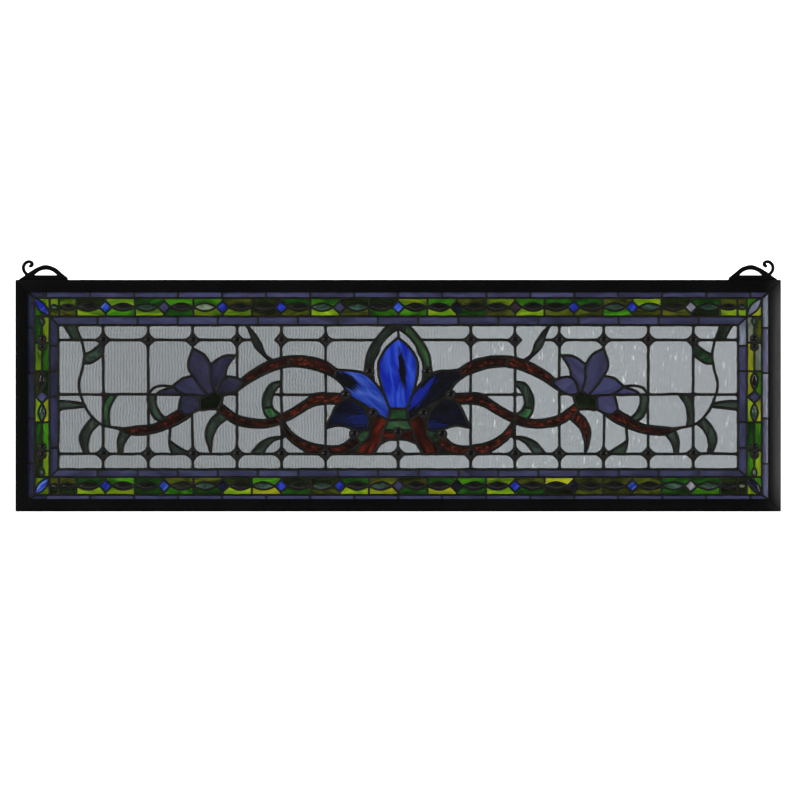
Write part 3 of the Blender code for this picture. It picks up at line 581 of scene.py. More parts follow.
@functools.cache
def band_pieces():
    """Form, glass, run and middle of every piece of the green band; a lens also has its tips and its rise."""
    border, box = sizes("border"), rectangles()
    out, inner = box["band_out"], box["band_in"]
    units, pieces = unit_count(), []

    def add(form, glass, spot, run=0, *shape):
        pieces.append((form, KINDS.get(glass, glass), run, Vector(spot), *shape))

    def lens(glass, tip, end, rise, run=0):
        tip, end = Vector(tip), Vector(end)
        add("lens", glass, tip.lerp(end, 0.5), run, tip, end, rise * border.bead_rise)

    lift = (out[1] - inner[1]) * SEED_SHARE
    for level, up in LEVELS.items():
        z = band_middle(level)
        for i in range(-units, units + 1):
            word = UNITS[level][(i + units) % len(UNITS[level])]
            x = i * border.unit
            add("diamond", DIAMONDS[level][(i + units) % len(DIAMONDS[level])], (x, z), 50)
            for way, upper, lower, bead in ((-1, *word[0:6:2]), (1, *word[1:6:2])):
                near, far = x + way * border.diamond, x + way * border.unit / 2
                lens(bead, (near, z), (far, z), 1)
                add("slip", upper, (far - way * SEED_INSET, z + lift))
                add("slip", lower, (far - way * SEED_INSET, z - lift))
        last = (units + 0.5) * border.unit
        end = last + border.end_cell
        for way in WAYS:
            word, glass = CORNERS[(way, level)]
            lens("b", (way * last, z), (way * end, z), 0.7)
            lens(word[4], (way * end, z), (way * inner[0], z), 0.6)
            lens(glass, (way * out[0], out[level]), (way * inner[0], inner[level]), 1, 45)
            for x in (last + SEED_INSET, inner[0] - SEED_INSET / 2):
                add("slip", word[0], (way * x, z + lift))
                add("slip", word[1], (way * x, z - lift))
            add("slip", word[2], (way * (inner[0] + SEED_INSET), out[level] - up * SEED_INSET), 90)
            add("slip", word[3], (way * (out[0] - SEED_INSET), inner[level] + up * SEED_INSET), 90)
            tip = inner[level] - up * border.small_lens
            lens(word[4], (side_x(way), tip), (side_x(way), inner[level]), 0.6, 90)
    half, middle = border.side_unit / 2, side_middle()
    heights = (half * 2.5, half * 1.5, half - SEED_INSET)
    for way in WAYS:
        slips, beads = UPRIGHTS[way]
        x = side_x(way)
        add("diamond", "slate", (x, middle), 50)
        for up, bead in zip((1, -1), beads):
            lens(bead, (x, middle + up * border.diamond), (x, middle + up * half), 0.9, 90)
        for pair, z in zip(slips, [*heights, *(-z for z in reversed(heights))]):
            for ahead, glass in zip((way, -way), pair):
                add("slip", glass, (x + ahead * border.band_side * SEED_SHARE, middle + z), 90)
    return pieces


def band_lines():
    """Lines of the green band: diamonds, lenses and the leads between the slips."""
    border, box = sizes("border"), rectangles()
    out, inner = box["band_out"], box["band_in"]
    lines = []
    for form, _, _, spot, *shape in band_pieces():
        if form == "diamond":
            lines.append(ring(spot, border.diamond, 4))
        elif form == "lens":
            tip, end, rise = shape
            lines += [arc(tip, end, rise), arc(tip, end, -rise)]

    def across(x, level, clear=0):
        z, up = band_middle(level), LEVELS[level]
        lines.append([Vector((x, out[level])), Vector((x, z + up * clear))])
        lines.append([Vector((x, z - up * clear)), Vector((x, inner[level]))])

    def along(way, z, start=out[0], end=inner[0]):
        lines.append([Vector((way * start, z)), Vector((way * end, z))])

    units = unit_count()
    for level in LEVELS:
        for i in range(-2 * units - 1, 2 * units + 2):
            across(i * border.unit / 2, level, 0 if i % 2 else border.diamond)
        for way in WAYS:
            across(way * ((units + 0.5) * border.unit + border.end_cell), level)
            across(way * inner[0], level)
            along(way, inner[level])
    pair = border.side_unit / 2 + border.jewel_offset
    for way in WAYS:
        x = side_x(way)
        for up in WAYS:
            half = side_middle() + up * border.side_unit / 2
            along(way, half)
            along(way, side_middle() + up * pair)
            start, end = (out if up > 0 else inner)[0] + up * MM, abs(x) + up * (border.diamond - MM)
            along(way, side_middle(), start, end)
            end = inner[1] - border.small_lens if up > 0 else inner[2] + border.small_lens
            lines.append([Vector((x, half)), Vector((x, end))])
    return lines


def arrangement(lines, epsilon=JOINT):
    """The lines cut where they cross: points and the edges between them."""
    points, edges = [], []
    for line in lines:
        first = len(points)
        points += [Vector(point[:2]) for point in line]
        edges += [(i, i + 1) for i in range(first, len(points) - 1)]
    corners, sides, _, _, sources, _ = delaunay_2d_cdt(points, edges, [], 0, epsilon)
    return corners, [side for side, source in zip(sides, sources) if source]


def tidy(points, edges, rounds):
    """Drops what lies inside a jewel's ring, and then every end that leads nowhere."""
    kept = set()
    for a, b in edges:
        middle = (points[a] + points[b]) / 2
        if a != b and not any((middle - centre).length < radius * RING_CORE for centre, radius, _ in rounds):
            kept.add((min(a, b), max(a, b)))
    while True:
        degree = {}
        for edge in kept:
            for end in edge:
                degree[end] = degree.get(end, 0) + 1
        loose = {edge for edge in kept if min(degree[edge[0]], degree[edge[1]]) == 1}
        if not loose:
            return kept
        kept -= loose


def cells(points, edges):
    """The closed outlines between the lines, each anticlockwise."""
    around = {}
    for a, b in edges:
        around.setdefault(a, []).append(b)
        around.setdefault(b, []).append(a)
    for a, ends in around.items():
        ends.sort(key=lambda b: math.atan2(points[b].y - points[a].y, points[b].x - points[a].x))
    found, used = [], set()
    for start in sorted((a, b) for a in around for b in around[a]):
        if start in used:
            continue
        loop = []
        a, b = start
        while (a, b) not in used:
            used.add((a, b))
            loop.append(points[a])
            ends = around[b]
            a, b = b, ends[ends.index(a) - 1]
        if area(loop) > 0:
            found.append(loop)
    return found


def turned(items):
    return items[1:] + items[:1]


def area(outline):
    return sum(a.cross(b) for a, b in zip(outline, turned(outline))) / 2


def middle_of(outline):
    """Mean of the outline's points."""
    return sum(outline, Vector((0, 0))) / len(outline)


def inside(point, outline):
    """Whether a point lies in the outline."""
    hit = False
    for a, b in zip(outline, turned(outline)):
        if (a.y > point.y) != (b.y > point.y):
            if point.x < a.x + (point.y - a.y) / (b.y - a.y) * (b.x - a.x):
                hit = not hit
    return hit


def inset(outline, distance):
    """The loops left when the outline is moved inwards; sides that shrink to nothing are dropped."""
    sides = [(a, (b - a).normalized()) for a, b in zip(outline, turned(outline)) if (b - a).length > 1e-7]
    sides = [side for side, before in zip(sides, sides[-1:] + sides[:-1]) if side[1].dot(before[1]) < 0.99999]
    sides = [(a + Vector((-way.y, way.x)) * distance, way) for a, way in sides]
    while len(sides) > 2:
        corners = []
        for (a, way_a), (b, way_b) in zip(sides[-1:] + sides[:-1], sides):
            turn = way_a.cross(way_b)
            corners.append(b if abs(turn) < 0.02 else a + way_a * ((b - a).cross(way_b) / turn))
        lengths = [(q - p).dot(side[1]) for p, q, side in zip(corners, turned(corners), sides)]
        worst = min(range(len(sides)), key=lengths.__getitem__)
        if lengths[worst] > SHORTEST_SIDE:
            return cells(*arrangement([[*corners, corners[0]]], 1e-6))
        del sides[worst]
    return []


def rounded(outline, radius):
    """The outline with its corners eased."""
    made = []
    for before, corner, after in zip(outline[-1:] + outline[:-1], outline, turned(outline)):
        back, on = before - corner, after - corner
        turn = math.pi - back.angle(on, math.pi)
        if turn < SHARPEST_UNEASED:
            made.append(corner)
            continue
        ease = min(radius, 0.45 * back.length, 0.45 * on.length)
        start, end = corner + back.normalized() * ease, corner + on.normalized() * ease
        for t in (0, 0.35, 0.65, 1):
            made.append(start.lerp(corner, t).lerp(corner.lerp(end, t), t))
    return made


def divided(points, step, closed=True):
    """The same line with points no further apart than step."""
    made = []
    for a, b in zip(points, turned(points) if closed else points[1:]):
        pieces = max(1, math.ceil((b - a).length / step))
        made += [a.lerp(b, i / pieces) for i in range(pieces)]
    return made if closed else [*made, points[-1]]


def strayed(point, amount, reach=9 * MM):
    """The point moved a little by a smooth field, the same for all pieces."""
    slow = noise.noise_vector(Vector((point.x / reach, point.y / reach, 3.1)))
    fast = noise.noise_vector(Vector((point.x / reach * 2.7, point.y / reach * 2.7, 8.7)))
    return Vector((point.x + amount * (slow.x + 0.35 * fast.x), point.y + amount * (slow.y + 0.35 * fast.y)))


def drawn(outline, radius):
    """An outline as the hand made it: eased, divided and strayed."""
    lead = sizes("lead")
    points = divided(rounded(outline, radius), lead.step)
    return [strayed(point, lead.wander) for point in points]


@functools.cache
def layout():
    """Points, edges and cells of the whole lead net."""
    box, border = rectangles(), sizes("border")
    lines = [rectangle(*box[name]) for name in ("rim", "band_out", "band_in", "field")]
    lines += strip_lines(box["rim"], box["band_out"], border.outer_tile, border.side_outer_tile, 0.0)
    lines += strip_lines(box["band_in"], box["field"], border.inner_tile, border.side_inner_tile, 0.5)
    lines += band_lines() + field_lines() + [ring(*widening) for widening in rings()]
    points, edges = arrangement(lines)
    kept = tidy(points, edges, rings())
    found = []
    for loop in cells(points, kept):
        around = [radius for centre, radius, _ in rings() if inside(centre, loop)]
        if not any(area(loop) < 4 * radius * radius for radius in around):
            found.append(loop)
    return points, kept, found


def zone(outline):
    """Which part of the window a cell belongs to."""
    box = rectangles()
    middle = middle_of(outline)
    for name, inner in (("field", "field"), ("inner_strip", "band_in"), ("band", "band_out")):
        half, top, bottom = box[inner]
        if abs(middle.x) < half and bottom < middle.y < top:
            return name
    return "outer_strip"


@functools.cache
def panes():
    """Cell, zone, half lead width and openings of each pane; those too slim for glass are left out."""
    lead = sizes("lead")
    made = []
    for outline in layout()[2]:
        where = zone(outline)
        half, slimmest = lead.border_width / 2, SLIMMEST_BORDER
        if where == "field":
            half, slimmest = lead.width / 2, SLIMMEST_FIELD
        openings = []
        for loop in whole(inset(outline, half), outline):
            around = sum((b - a).length for a, b in zip(loop, turned(loop)))
            if area(loop) > slimmest * around / 2:
                openings.append(loop)
        if openings:
            made.append({"cell": outline, "zone": where, "half": half, "openings": openings})
    return made


def whole(loops, outline):
    """The loops that are more than a speck and lie inside the outline."""
    return [loop for loop in loops if area(loop) > SPECK and all(inside(point, outline) for point in loop)]


def pane_at(x, z, way=1):
    """The pane around a point of the drawing, on its right or left side."""
    point = scaled(x, z)
    point.x *= way
    for pane in panes():
        if inside(point, pane["cell"]):
            return pane
    raise ValueError(f"no pane at {x}, {z}")


def corner_radius(pane):
    lead = sizes("lead")
    return lead.corner if pane["zone"] == "field" else lead.corner * 0.3


# Meshes

# Distance of the points along the rim, how far the lead starts under the glass's face, and the size and share
# of the lumps in its solder
RIM_STEP = 10 * MM
LEAD_SINK = 0.12 * MM
LUMP_SIZE = 5 * MM
LUMP_RISE = 0.16


def window_middle():
    """Height of the window's middle; the origin is at the hangers' eyes."""
    outer, hanger = sizes("frame"), sizes("hanger")
    return -(outer.height / 2 + outer.gap + hanger.eye_bar + hanger.eye_height)


def placed(name, mesh, replaced):
    """The object of a mesh, on the window's body and the nodes that it stands for."""
    made = bpy.data.objects.new(name, mesh)
    bpy.context.scene.collection.objects.link(made)
    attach(made, BODY)
    if replaced:
        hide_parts(*replaced)
    return made


class Shape:
    """Collects pieces into one mesh, with the glass tones of each."""

    def __init__(self):
        self.points, self.faces, self.smooth, self.tones = [], [], [], []

    def add(self, points, faces, tone=None, smooth=False):
        first = len(self.points)
        self.points += points
        self.faces += [[first + i for i in face] for face in faces]
        self.smooth += [smooth] * len(faces)
        self.tones += [tone] * len(points)

    def glaze(self, pane, tone):
        """Adds the flat glass of a pane."""
        for outline in glass_outlines(pane):
            self.add(*slab(outline, glass_front(), -glass_front()), tone)

    def finish(self, name, finish, slot, replaced=()):
        mesh = bpy.data.meshes.new(name)
        middle = window_middle()
        mesh.from_pydata([(x, y, z + middle) for x, y, z in self.points], [], self.faces)
        mesh.polygons.foreach_set("use_smooth", self.smooth)
        mesh.validate()
        if self.tones and self.tones[0]:
            for at, key in enumerate(("light_tone", "body_tone", "deep_tone", "patch_tone")):
                layer = mesh.attributes.new(key, "FLOAT_COLOR", "POINT")
                layer.data.foreach_set("color", [v for tone in self.tones for v in (*tone[0][at], 1.0)])
            for at, key in enumerate(("run", "patch", "patch_size"), 1):
                layer = mesh.attributes.new(key, "FLOAT_VECTOR", "POINT")
                layer.data.foreach_set("vector", [v for tone in self.tones for v in tone[at]])
        mesh.materials.append(finish)
        placed(name, mesh, replaced)


def tone_of(glass, degrees, seed, vary=0.12, lift=1.0):
    """Four tones, each a little off the named glass, the run of the streaks, and a patch's place and size."""
    chance = random.Random(seed)
    lift *= 1 + chance.uniform(-vary, vary) * 2
    tones = []
    for colour in GLASS[glass]:
        tones.append(tuple(channel * lift * (1 + chance.uniform(-vary, vary) / 2) for channel in colour))
    turn = math.radians(degrees + chance.uniform(-STREAK_PLAY, STREAK_PLAY))
    x, z, reach, half, kind, ragged = PATCHES.get(seed, (*NOWHERE, 1, 1, glass, 1))
    spot = scaled(x, z)
    tones.append(GLASS[kind][1])
    run = (math.cos(turn), math.sin(turn), chance.uniform(0, 40))
    return tones, run, (spot.x, spot.y + window_middle(), 0), (reach * MM, half * MM, ragged)


def slab(outline, front, back):
    """A flat pane: points and faces."""
    around = len(outline)
    points = [(p.x, y, p.y) for y in (front, back) for p in outline]
    faces = [list(range(around)), list(range(2 * around - 1, around - 1, -1))]
    faces += [[i, i + around, (i + 1) % around + around, (i + 1) % around] for i in range(around)]
    return points, faces


def domed(outline, levels, back):
    """A piece that rises in rings of its outline, drawn in to its middle; levels are (share, height)."""
    centre = middle_of(outline)
    around = len(outline)
    points = [(p.x, back, p.y) for p in outline]
    faces = [list(range(around - 1, -1, -1))]
    for level, (share, height) in enumerate(levels):
        for p in outline:
            points.append((centre.x + (p.x - centre.x) * share, height, centre.y + (p.y - centre.y) * share))
        low, high = level * around, (level + 1) * around
        faces += [[high + i, low + i, low + (i + 1) % around, high + (i + 1) % around] for i in range(around)]
    faces.append(list(range(len(points) - around, len(points))))
    return points, faces


def pillow(rise, start):
    """Levels of a rounded top that starts at a height and rises towards the front."""
    turns = [share * math.pi / 2 for share in (0.12, 0.3, 0.5, 0.68, 0.82, 0.93, 1.0)]
    return [(math.cos(turn) * 0.97 + 0.02, start - rise * math.sin(turn)) for turn in turns]


def glass_front():
    return -sizes("lead").glass / 2


def grown(outline, distance):
    """Every point moved outwards; narrow tips stay short."""
    made = []
    for before, point, after in zip(outline[-1:] + outline[:-1], outline, turned(outline)):
        way = (after - before).normalized()
        made.append(point + Vector((way.y, -way.x)) * distance)
    return made


def glass_outlines(pane):
    """Outlines of the glass of a pane, which runs a little way under the lead."""
    return [grown(drawn(opening, corner_radius(pane)), sizes("lead").cover) for opening in pane["openings"]]


def lead_net(finish):
    """The soldered lead: one sheet with a rounded bead along every line, the same at the back."""
    outer, lead = sizes("frame"), sizes("lead")
    reach = (outer.width / 2 - outer.web - outer.gap, outer.height / 2 - outer.web - outer.gap)
    foot, shoulder, crest = 0.0, 0.8, 1.0
    points, levels, faces, edges = [], [], [], []

    def enter(outline, level):
        first = len(points)
        points.extend(outline)
        levels.extend([level] * len(outline))
        return list(range(first, len(points)))

    faces.append(enter(divided(rectangle(reach[0], reach[1], -reach[1])[:-1], RIM_STEP), foot))
    for pane in panes():
        for opening in pane["openings"]:
            faces.append(enter(drawn(opening, corner_radius(pane)), foot))
        for loop in whole(inset(pane["cell"], pane["half"] / 2), pane["cell"]):
            ids = enter(drawn(loop, corner_radius(pane)), shoulder)
            edges += list(zip(ids, turned(ids)))
    corners, kept, _ = layout()
    for a, b in sorted(kept):
        line = divided([corners[a], corners[b]], lead.step, False)
        ids = enter([strayed(point, lead.wander) for point in line], crest)
        edges += list(zip(ids, ids[1:]))
    spots, _, triangles, spot_sources, _, face_sources = delaunay_2d_cdt(points, edges, faces, 1, 1e-6)
    sheet = [list(face) for face, source in zip(triangles, face_sources) if source == [0]]
    front = glass_front() + LEAD_SINK
    made = []
    for point, source in zip(spots, spot_sources):
        level = max((levels[i] for i in source), default=shoulder)
        lumps = noise.noise(Vector((point.x, point.y, 0.0)) / LUMP_SIZE) * LUMP_RISE + 1
        made.append((point.x, front - lead.rise * level * lumps, point.y))
    total = len(made)
    made += [(x, -y, z) for x, y, z in made]
    sides = {side: True for face in sheet for side in zip(face, turned(face))}
    walls = [[b, a, a + total, b + total] for a, b in sides if (b, a) not in sides]
    back = [[i + total for i in reversed(face)] for face in sheet]
    shape = Shape()
    shape.add(made, sheet + back + walls, None, True)
    shape.finish("lead_net", finish, "lead", ["leaded_panel"])


# Shaders


class Wire:
    """A socket of a shader tree that can be reckoned with."""

    def __init__(self, graph, socket):
        self.graph, self.socket = graph, socket

    def math(self, operation, *values):
        return self.graph.node("ShaderNodeMath", {"operation": operation}, dict(enumerate(values)))

    def __add__(self, other):
        return self.math("ADD", self, other)

    def __radd__(self, other):
        return self.math("ADD", other, self)

    def __sub__(self, other):
        return self.math("SUBTRACT", self, other)

    def __rsub__(self, other):
        return self.math("SUBTRACT", other, self)

    def __mul__(self, other):
        return self.math("MULTIPLY", self, other)

    def __rmul__(self, other):
        return self.math("MULTIPLY", other, self)

    def __truediv__(self, other):
        return self.math("DIVIDE", self, other)

    def __rtruediv__(self, other):
        return self.math("DIVIDE", other, self)

    def between(self, low, high):
        """0 below low and 1 above high, with a soft step between."""
        values = {"Value": self, "From Min": low, "From Max": high}
        return self.graph.node("ShaderNodeMapRange", {"interpolation_type": "SMOOTHSTEP"}, values)


class Graph:
    """The node tree of one material."""

    def __init__(self, name):
        self.material = bpy.data.materials.new(name)
        self.material.use_nodes = True
        self.tree = self.material.node_tree
        self.shader = self.tree.nodes["Principled BSDF"]

    def node(self, kind, settings=None, values=None, output=0):
        made = self.tree.nodes.new(kind)
        for key, value in (settings or {}).items():
            setattr(made, key, value)
        for key, value in (values or {}).items():
            self.put(made.inputs[key], value)
        return Wire(self, made.outputs[output])

    def put(self, socket, value):
        if isinstance(value, Wire):
            self.tree.links.new(value.socket, socket)
        else:
            socket.default_value = value

    def plain(self, **values):
        """Uniform numbers on the shader's own sockets."""
        for key, value in values.items():
            self.shader.inputs[key.replace("_", " ")].default_value = value

    def feed(self, key, value):
        self.put(self.shader.inputs[key], value)

    def mix(self, share, a, b):
        settings = {"data_type": "RGBA"}
        return self.node("ShaderNodeMix", settings, {0: share, 6: a, 7: b}, 2)

    def place(self):
        return self.node("ShaderNodeTexCoord", None, None, "Object")

    def parts(self, vector):
        made = self.tree.nodes.new("ShaderNodeSeparateXYZ")
        self.put(made.inputs[0], vector)
        return [Wire(self, made.outputs[i]) for i in range(3)]

    def joined(self, x, y, z):
        return self.node("ShaderNodeCombineXYZ", None, {0: x, 1: y, 2: z})

    def attribute(self, name, output="Color"):
        return self.node("ShaderNodeAttribute", {"attribute_name": name}, None, output)

    def clouds(self, vector, scale, detail=2.0, distortion=0.0):
        values = {"Vector": vector, "Scale": scale, "Detail": detail, "Distortion": distortion}
        return self.node("ShaderNodeTexNoise", None, values, "Fac")

    def bump(self, height, strength, distance=MM):
        values = {"Height": height, "Strength": strength, "Distance": distance}
        self.feed("Normal", self.node("ShaderNodeBump", None, values, "Normal"))


def streaks(graph, place=(0, 0)):
    """Coordinates that run along and across a piece's streaks, from a place, and the piece's seed."""
    x, _, z = graph.parts(graph.place())
    cos, sin, seed = graph.parts(graph.attribute("run", "Vector"))
    x, z = x - place[0], z - place[1]
    return x * cos + z * sin, z * cos - x * sin, seed


def patch(graph, fraying):
    """How much a point lies in the piece's patch, a long spot whose edge is frayed around a mean of 1."""
    at_x, at_z, _ = graph.parts(graph.attribute("patch", "Vector"))
    reach, half, ragged = graph.parts(graph.attribute("patch_size", "Vector"))
    along, across, _ = streaks(graph, (at_x, at_z))
    spread = graph.joined(along / reach, across / half, 0.0)
    far = graph.node("ShaderNodeVectorMath", {"operation": "LENGTH"}, {0: spread}, "Value")
    return 1.0 - (far + (fraying - 1.0) * ragged).between(0.6, 1.0)


def art_glass(name, long_scale, cross_scale, low=0.34, high=0.78):
    """Streaky coloured glass: three tones pulled out along each piece's own run, and a patch of a fourth."""
    graph = Graph(name)
    along, across, seed = streaks(graph)
    long, wide = along * long_scale, across * cross_scale
    swirl = graph.clouds(graph.joined(long, wide, seed), 1.0, 3.0, 0.7)
    shade = graph.clouds(graph.joined(long * 0.41, wide * 0.35, seed + 9.0), 1.0, 2.0, 0.7)
    fine = graph.clouds(graph.joined(long * 1.3, wide * 3.5, seed + 5.0), 1.0, 2.0, 0.5)
    colour = graph.mix(swirl.between(low, high), graph.attribute("body_tone"), graph.attribute("light_tone"))
    colour = graph.mix(shade.between(0.46, 0.74), colour, graph.attribute("deep_tone"))
    colour = graph.mix(patch(graph, swirl + fine), colour, graph.attribute("patch_tone"))
    graph.feed("Base Color", colour)
    graph.plain(Roughness=0.22, Transmission_Weight=0.3, IOR=1.5, Specular_IOR_Level=0.15)
    graph.bump(graph.clouds(graph.joined(along * 90, across * 220, seed), 1.0, 2.0, 0.5), 0.25)
    return graph.material


def clear_glass():
    """Clear glass with fine upright ripples, stronger on the left; towards the right the ripples fade and the
    glass is lighter as painted light, with pale painted glints.
    """
    graph = Graph("clear_glass")
    x, _, z = graph.parts(graph.place())
    _, _, seed = graph.parts(graph.attribute("run", "Vector"))
    # right is painted light: the glass turns lighter towards the right
    right = x.between(-0.12, 0.16)
    phase = x * 1900.0 + graph.clouds(graph.joined(x * 45, z * 90, seed), 1.0, 1.0) * 9.0
    ripple = phase.math("SINE", phase) * 0.5 + 0.5
    painted_glints = graph.clouds(graph.joined(x * 420, z * 110, seed + 4.0), 1.0, 4.0)
    depth = graph.mix(ripple, graph.attribute("deep_tone"), graph.attribute("body_tone"))
    colour = graph.mix(right * 0.65, depth, graph.attribute("body_tone"))
    # Pale painted glints, only on the right
    colour = graph.mix(painted_glints.between(0.6, 0.74) * right * 0.75, colour, graph.attribute("light_tone"))
    graph.feed("Base Color", colour)
    graph.plain(Roughness=0.1, Transmission_Weight=0.85, IOR=1.5, Specular_IOR_Level=0.25)
    graph.bump(ripple, 0.22)
    return graph.material


def pressed_glass(name, roughness, specular):
    """Smooth pressed glass of the domed jewels, beads and diamonds."""
    graph = Graph(name)
    along, across, seed = streaks(graph)
    swirl = graph.clouds(graph.joined(along * 60, across * 160, seed), 1.0, 2.0, 0.8)
    share = swirl.between(0.4, 0.68)
    graph.feed("Base Color", graph.mix(share, graph.attribute("body_tone"), graph.attribute("light_tone")))
    graph.plain(Roughness=roughness, Transmission_Weight=0.3, IOR=1.5, Specular_IOR_Level=specular)
    graph.bump(graph.clouds(graph.place(), 260.0, 2.0), 0.08)
    return graph.material


def lead_metal():
    """Dark patinated lead and solder, lumpy, with a dull shine on its high places."""
    graph = Graph("lead")
    place = graph.place()
    wear = graph.clouds(place, 90.0, 4.0)
    grime = graph.clouds(place, 420.0, 3.0)
    colour = graph.mix(wear.between(0.35, 0.7), (0.005, 0.0047, 0.0036, 1), (0.014, 0.0128, 0.0098, 1))
    colour = graph.mix(grime.between(0.55, 0.75) * 0.5, colour, (0.04, 0.038, 0.031, 1))
    graph.feed("Base Color", colour)
    graph.feed("Roughness", 0.38 + grime * 0.3)
    graph.plain(Metallic=0.2, Specular_IOR_Level=0.22)
    graph.bump(wear * 0.7 + grime * 0.3, 0.55)
    return graph.material


def black_metal(name, low, high, roughness, grain):
    """Black finish over metal, a little uneven."""
    graph = Graph(name)
    place = graph.place()
    wear = graph.clouds(place, 14.0, 4.0)
    fine = graph.clouds(place, grain, 3.0)
    graph.feed("Base Color", graph.mix(wear.between(0.35, 0.7), (*[low] * 3, 1), (*[high] * 3, 1)))
    graph.feed("Roughness", roughness - 0.06 + fine * 0.14)
    graph.plain(Metallic=0.0, Specular_IOR_Level=0.07)
    graph.bump(fine, 0.18, 0.3 * MM)
    return graph.material


# Builders


def strip_tone(pane, index):
    """The glass of a tile in the purple strips; some at the right are pale lavender as a painted reflection,
    the left ones darker as painted shade.
    """
    middle, spans = middle_of(pane["cell"]), PAINTED_REFLECTION_SPANS[pane["zone"]]
    side = abs(middle.x) > rectangles()["field"][0] - MM
    # pale marks the tiles at the right that carry a painted reflection of a lamp
    pale = middle.x > 0 and side and any(low * MM < middle.y < high * MM for low, high in spans)
    # The tiles at the left side are darkened as painted shade
    lift = 1.0 if pale else STRIP_SHADE_AND_LIFTS[pane["zone"]][0 if side and middle.x < 0 else 1]
    return tone_of("lavender" if pale else "slate", 90 if side else 0, f"strip{index}", 0.08, lift)


def band_piece(cell):
    """Form, glass and run of the piece of the green band in a cell."""
    for form, glass, run, spot, *_ in band_pieces():
        if inside(spot, cell):
            return form, glass, run
    return "slip", "moss", 0


def named_seeds():
    """Name, pane, glass, run and slot of every coloured piece that stands for a CAD solid."""
    found = []
    for name, (seed, glass, run, slot) in MIDDLE_PIECES.items():
        found.append((name, pane_at(*seed), glass, run, slot))
    for name, (seed, glass, run, slot) in SIDE_PIECES.items():
        for side, way in SIDES.items():
            kind = glass.split()[0 if way < 0 else 1]
            found.append((f"{name}_{side}", pane_at(*seed, way), kind, run * way, slot))
    return found


def small_seeds():
    """Name, pane, glass and run of the small coloured panes."""
    found = []
    for name, (seed, glass, run) in SMALL_PANES.items():
        found += [(name, pane_at(*seed, way), glass, run * way) for way in WAYS]
    return found


def round_piece(centre, radius, front, sides):
    """A round jewel, domed at the front from a girdle a little under the glass's face."""
    girdle = 0.2 * MM
    levels = [(0.98, front + 3 * girdle), (1.0, front + girdle)]
    levels += pillow(sizes("jewel").dome - girdle, front + girdle)
    return domed(ring(centre, radius, sides)[:-1], levels, -front)


def collar(centre, radius, front, sides):
    """A bead of solder around a jewel."""
    points, faces = [], []
    bar, around = 0.7 * MM, 8
    for i in range(sides):
        turn = math.tau * i / sides
        way = Vector((math.cos(turn), math.sin(turn)))
        lump = 1 + 0.15 * noise.noise(Vector((way.x * 2 + centre.x * 90, way.y * 2, centre.y * 90)))
        for j in range(around):
            swing = math.tau * j / around
            spot = centre + way * (radius + bar * lump * math.cos(swing))
            points.append((spot.x, front - bar * lump * math.sin(swing), spot.y))
    for i in range(sides):
        for j in range(around):
            a, b = i * around, (i + 1) % sides * around
            k = (j + 1) % around
            faces.append([a + j, a + k, b + k, b + j])
    return points, faces


def rail(side, span, turn, x, z, finish):
    """A mitred channel with eased edges, as long as the frame's side."""
    name = f"frame_{side}_rail"
    outer = sizes("frame")
    depth, groove = outer.depth / 2, outer.depth / 2 - outer.lip
    section = [(-depth, 0), (depth, 0), (depth, outer.face), (groove, outer.face), (groove, outer.web)]
    section += [(-groove, outer.web), (-groove, outer.face), (-depth, outer.face)]
    channel = bmesh.new()
    steps = max(2, round(span / (60 * MM)))
    rows = []
    for i in range(steps + 1):
        share = 2 * i / steps - 1
        reach = span / 2 - outer.gap / 2
        rows.append([channel.verts.new((share * (reach - rise), y, rise)) for y, rise in section])
    channel.faces.new(rows[0])
    channel.faces.new(rows[-1][::-1])
    for low, high in zip(rows, rows[1:]):
        for j in range(len(section)):
            k = (j + 1) % len(section)
            channel.faces.new((low[j], high[j], high[k], low[k]))
    bmesh.ops.recalc_face_normals(channel, faces=channel.faces)
    sharp = [edge for edge in channel.edges if edge.calc_face_angle(0) > 0.6]
    bmesh.ops.bevel(
        channel, geom=sharp, offset=outer.edge, segments=3, profile=0.5, affect="EDGES", clamp_overlap=True
    )
    for face in channel.faces:
        face.smooth = True
    mesh = bpy.data.meshes.new(name + "_shown")
    channel.to_mesh(mesh)
    channel.free()
    mesh.set_sharp_from_angle(angle=math.radians(40))
    mesh.materials.append(finish)
    made = placed(name + "_shown", mesh, [name])
    made.rotation_euler = (0, turn, 0)
    made.location = (x, 0, window_middle() + z)


# Middle line of a hanger's curl in millimetres, and the top of its arch as shares of the eye's width and
# of the arch's height
SCROLL = (
    (7.7, 6), (5.2, 9.2), (4.3, 12.9), (5.3, 16.4), (8, 19), (11.2, 19.6), (13.7, 18.2), (13.9, 16),
    (12, 14.6),
)
ARCH = ((-0.65, 0.6), (-0.36, 0.85), (0, 1), (0.41, 0.83), (0.73, 0.45))


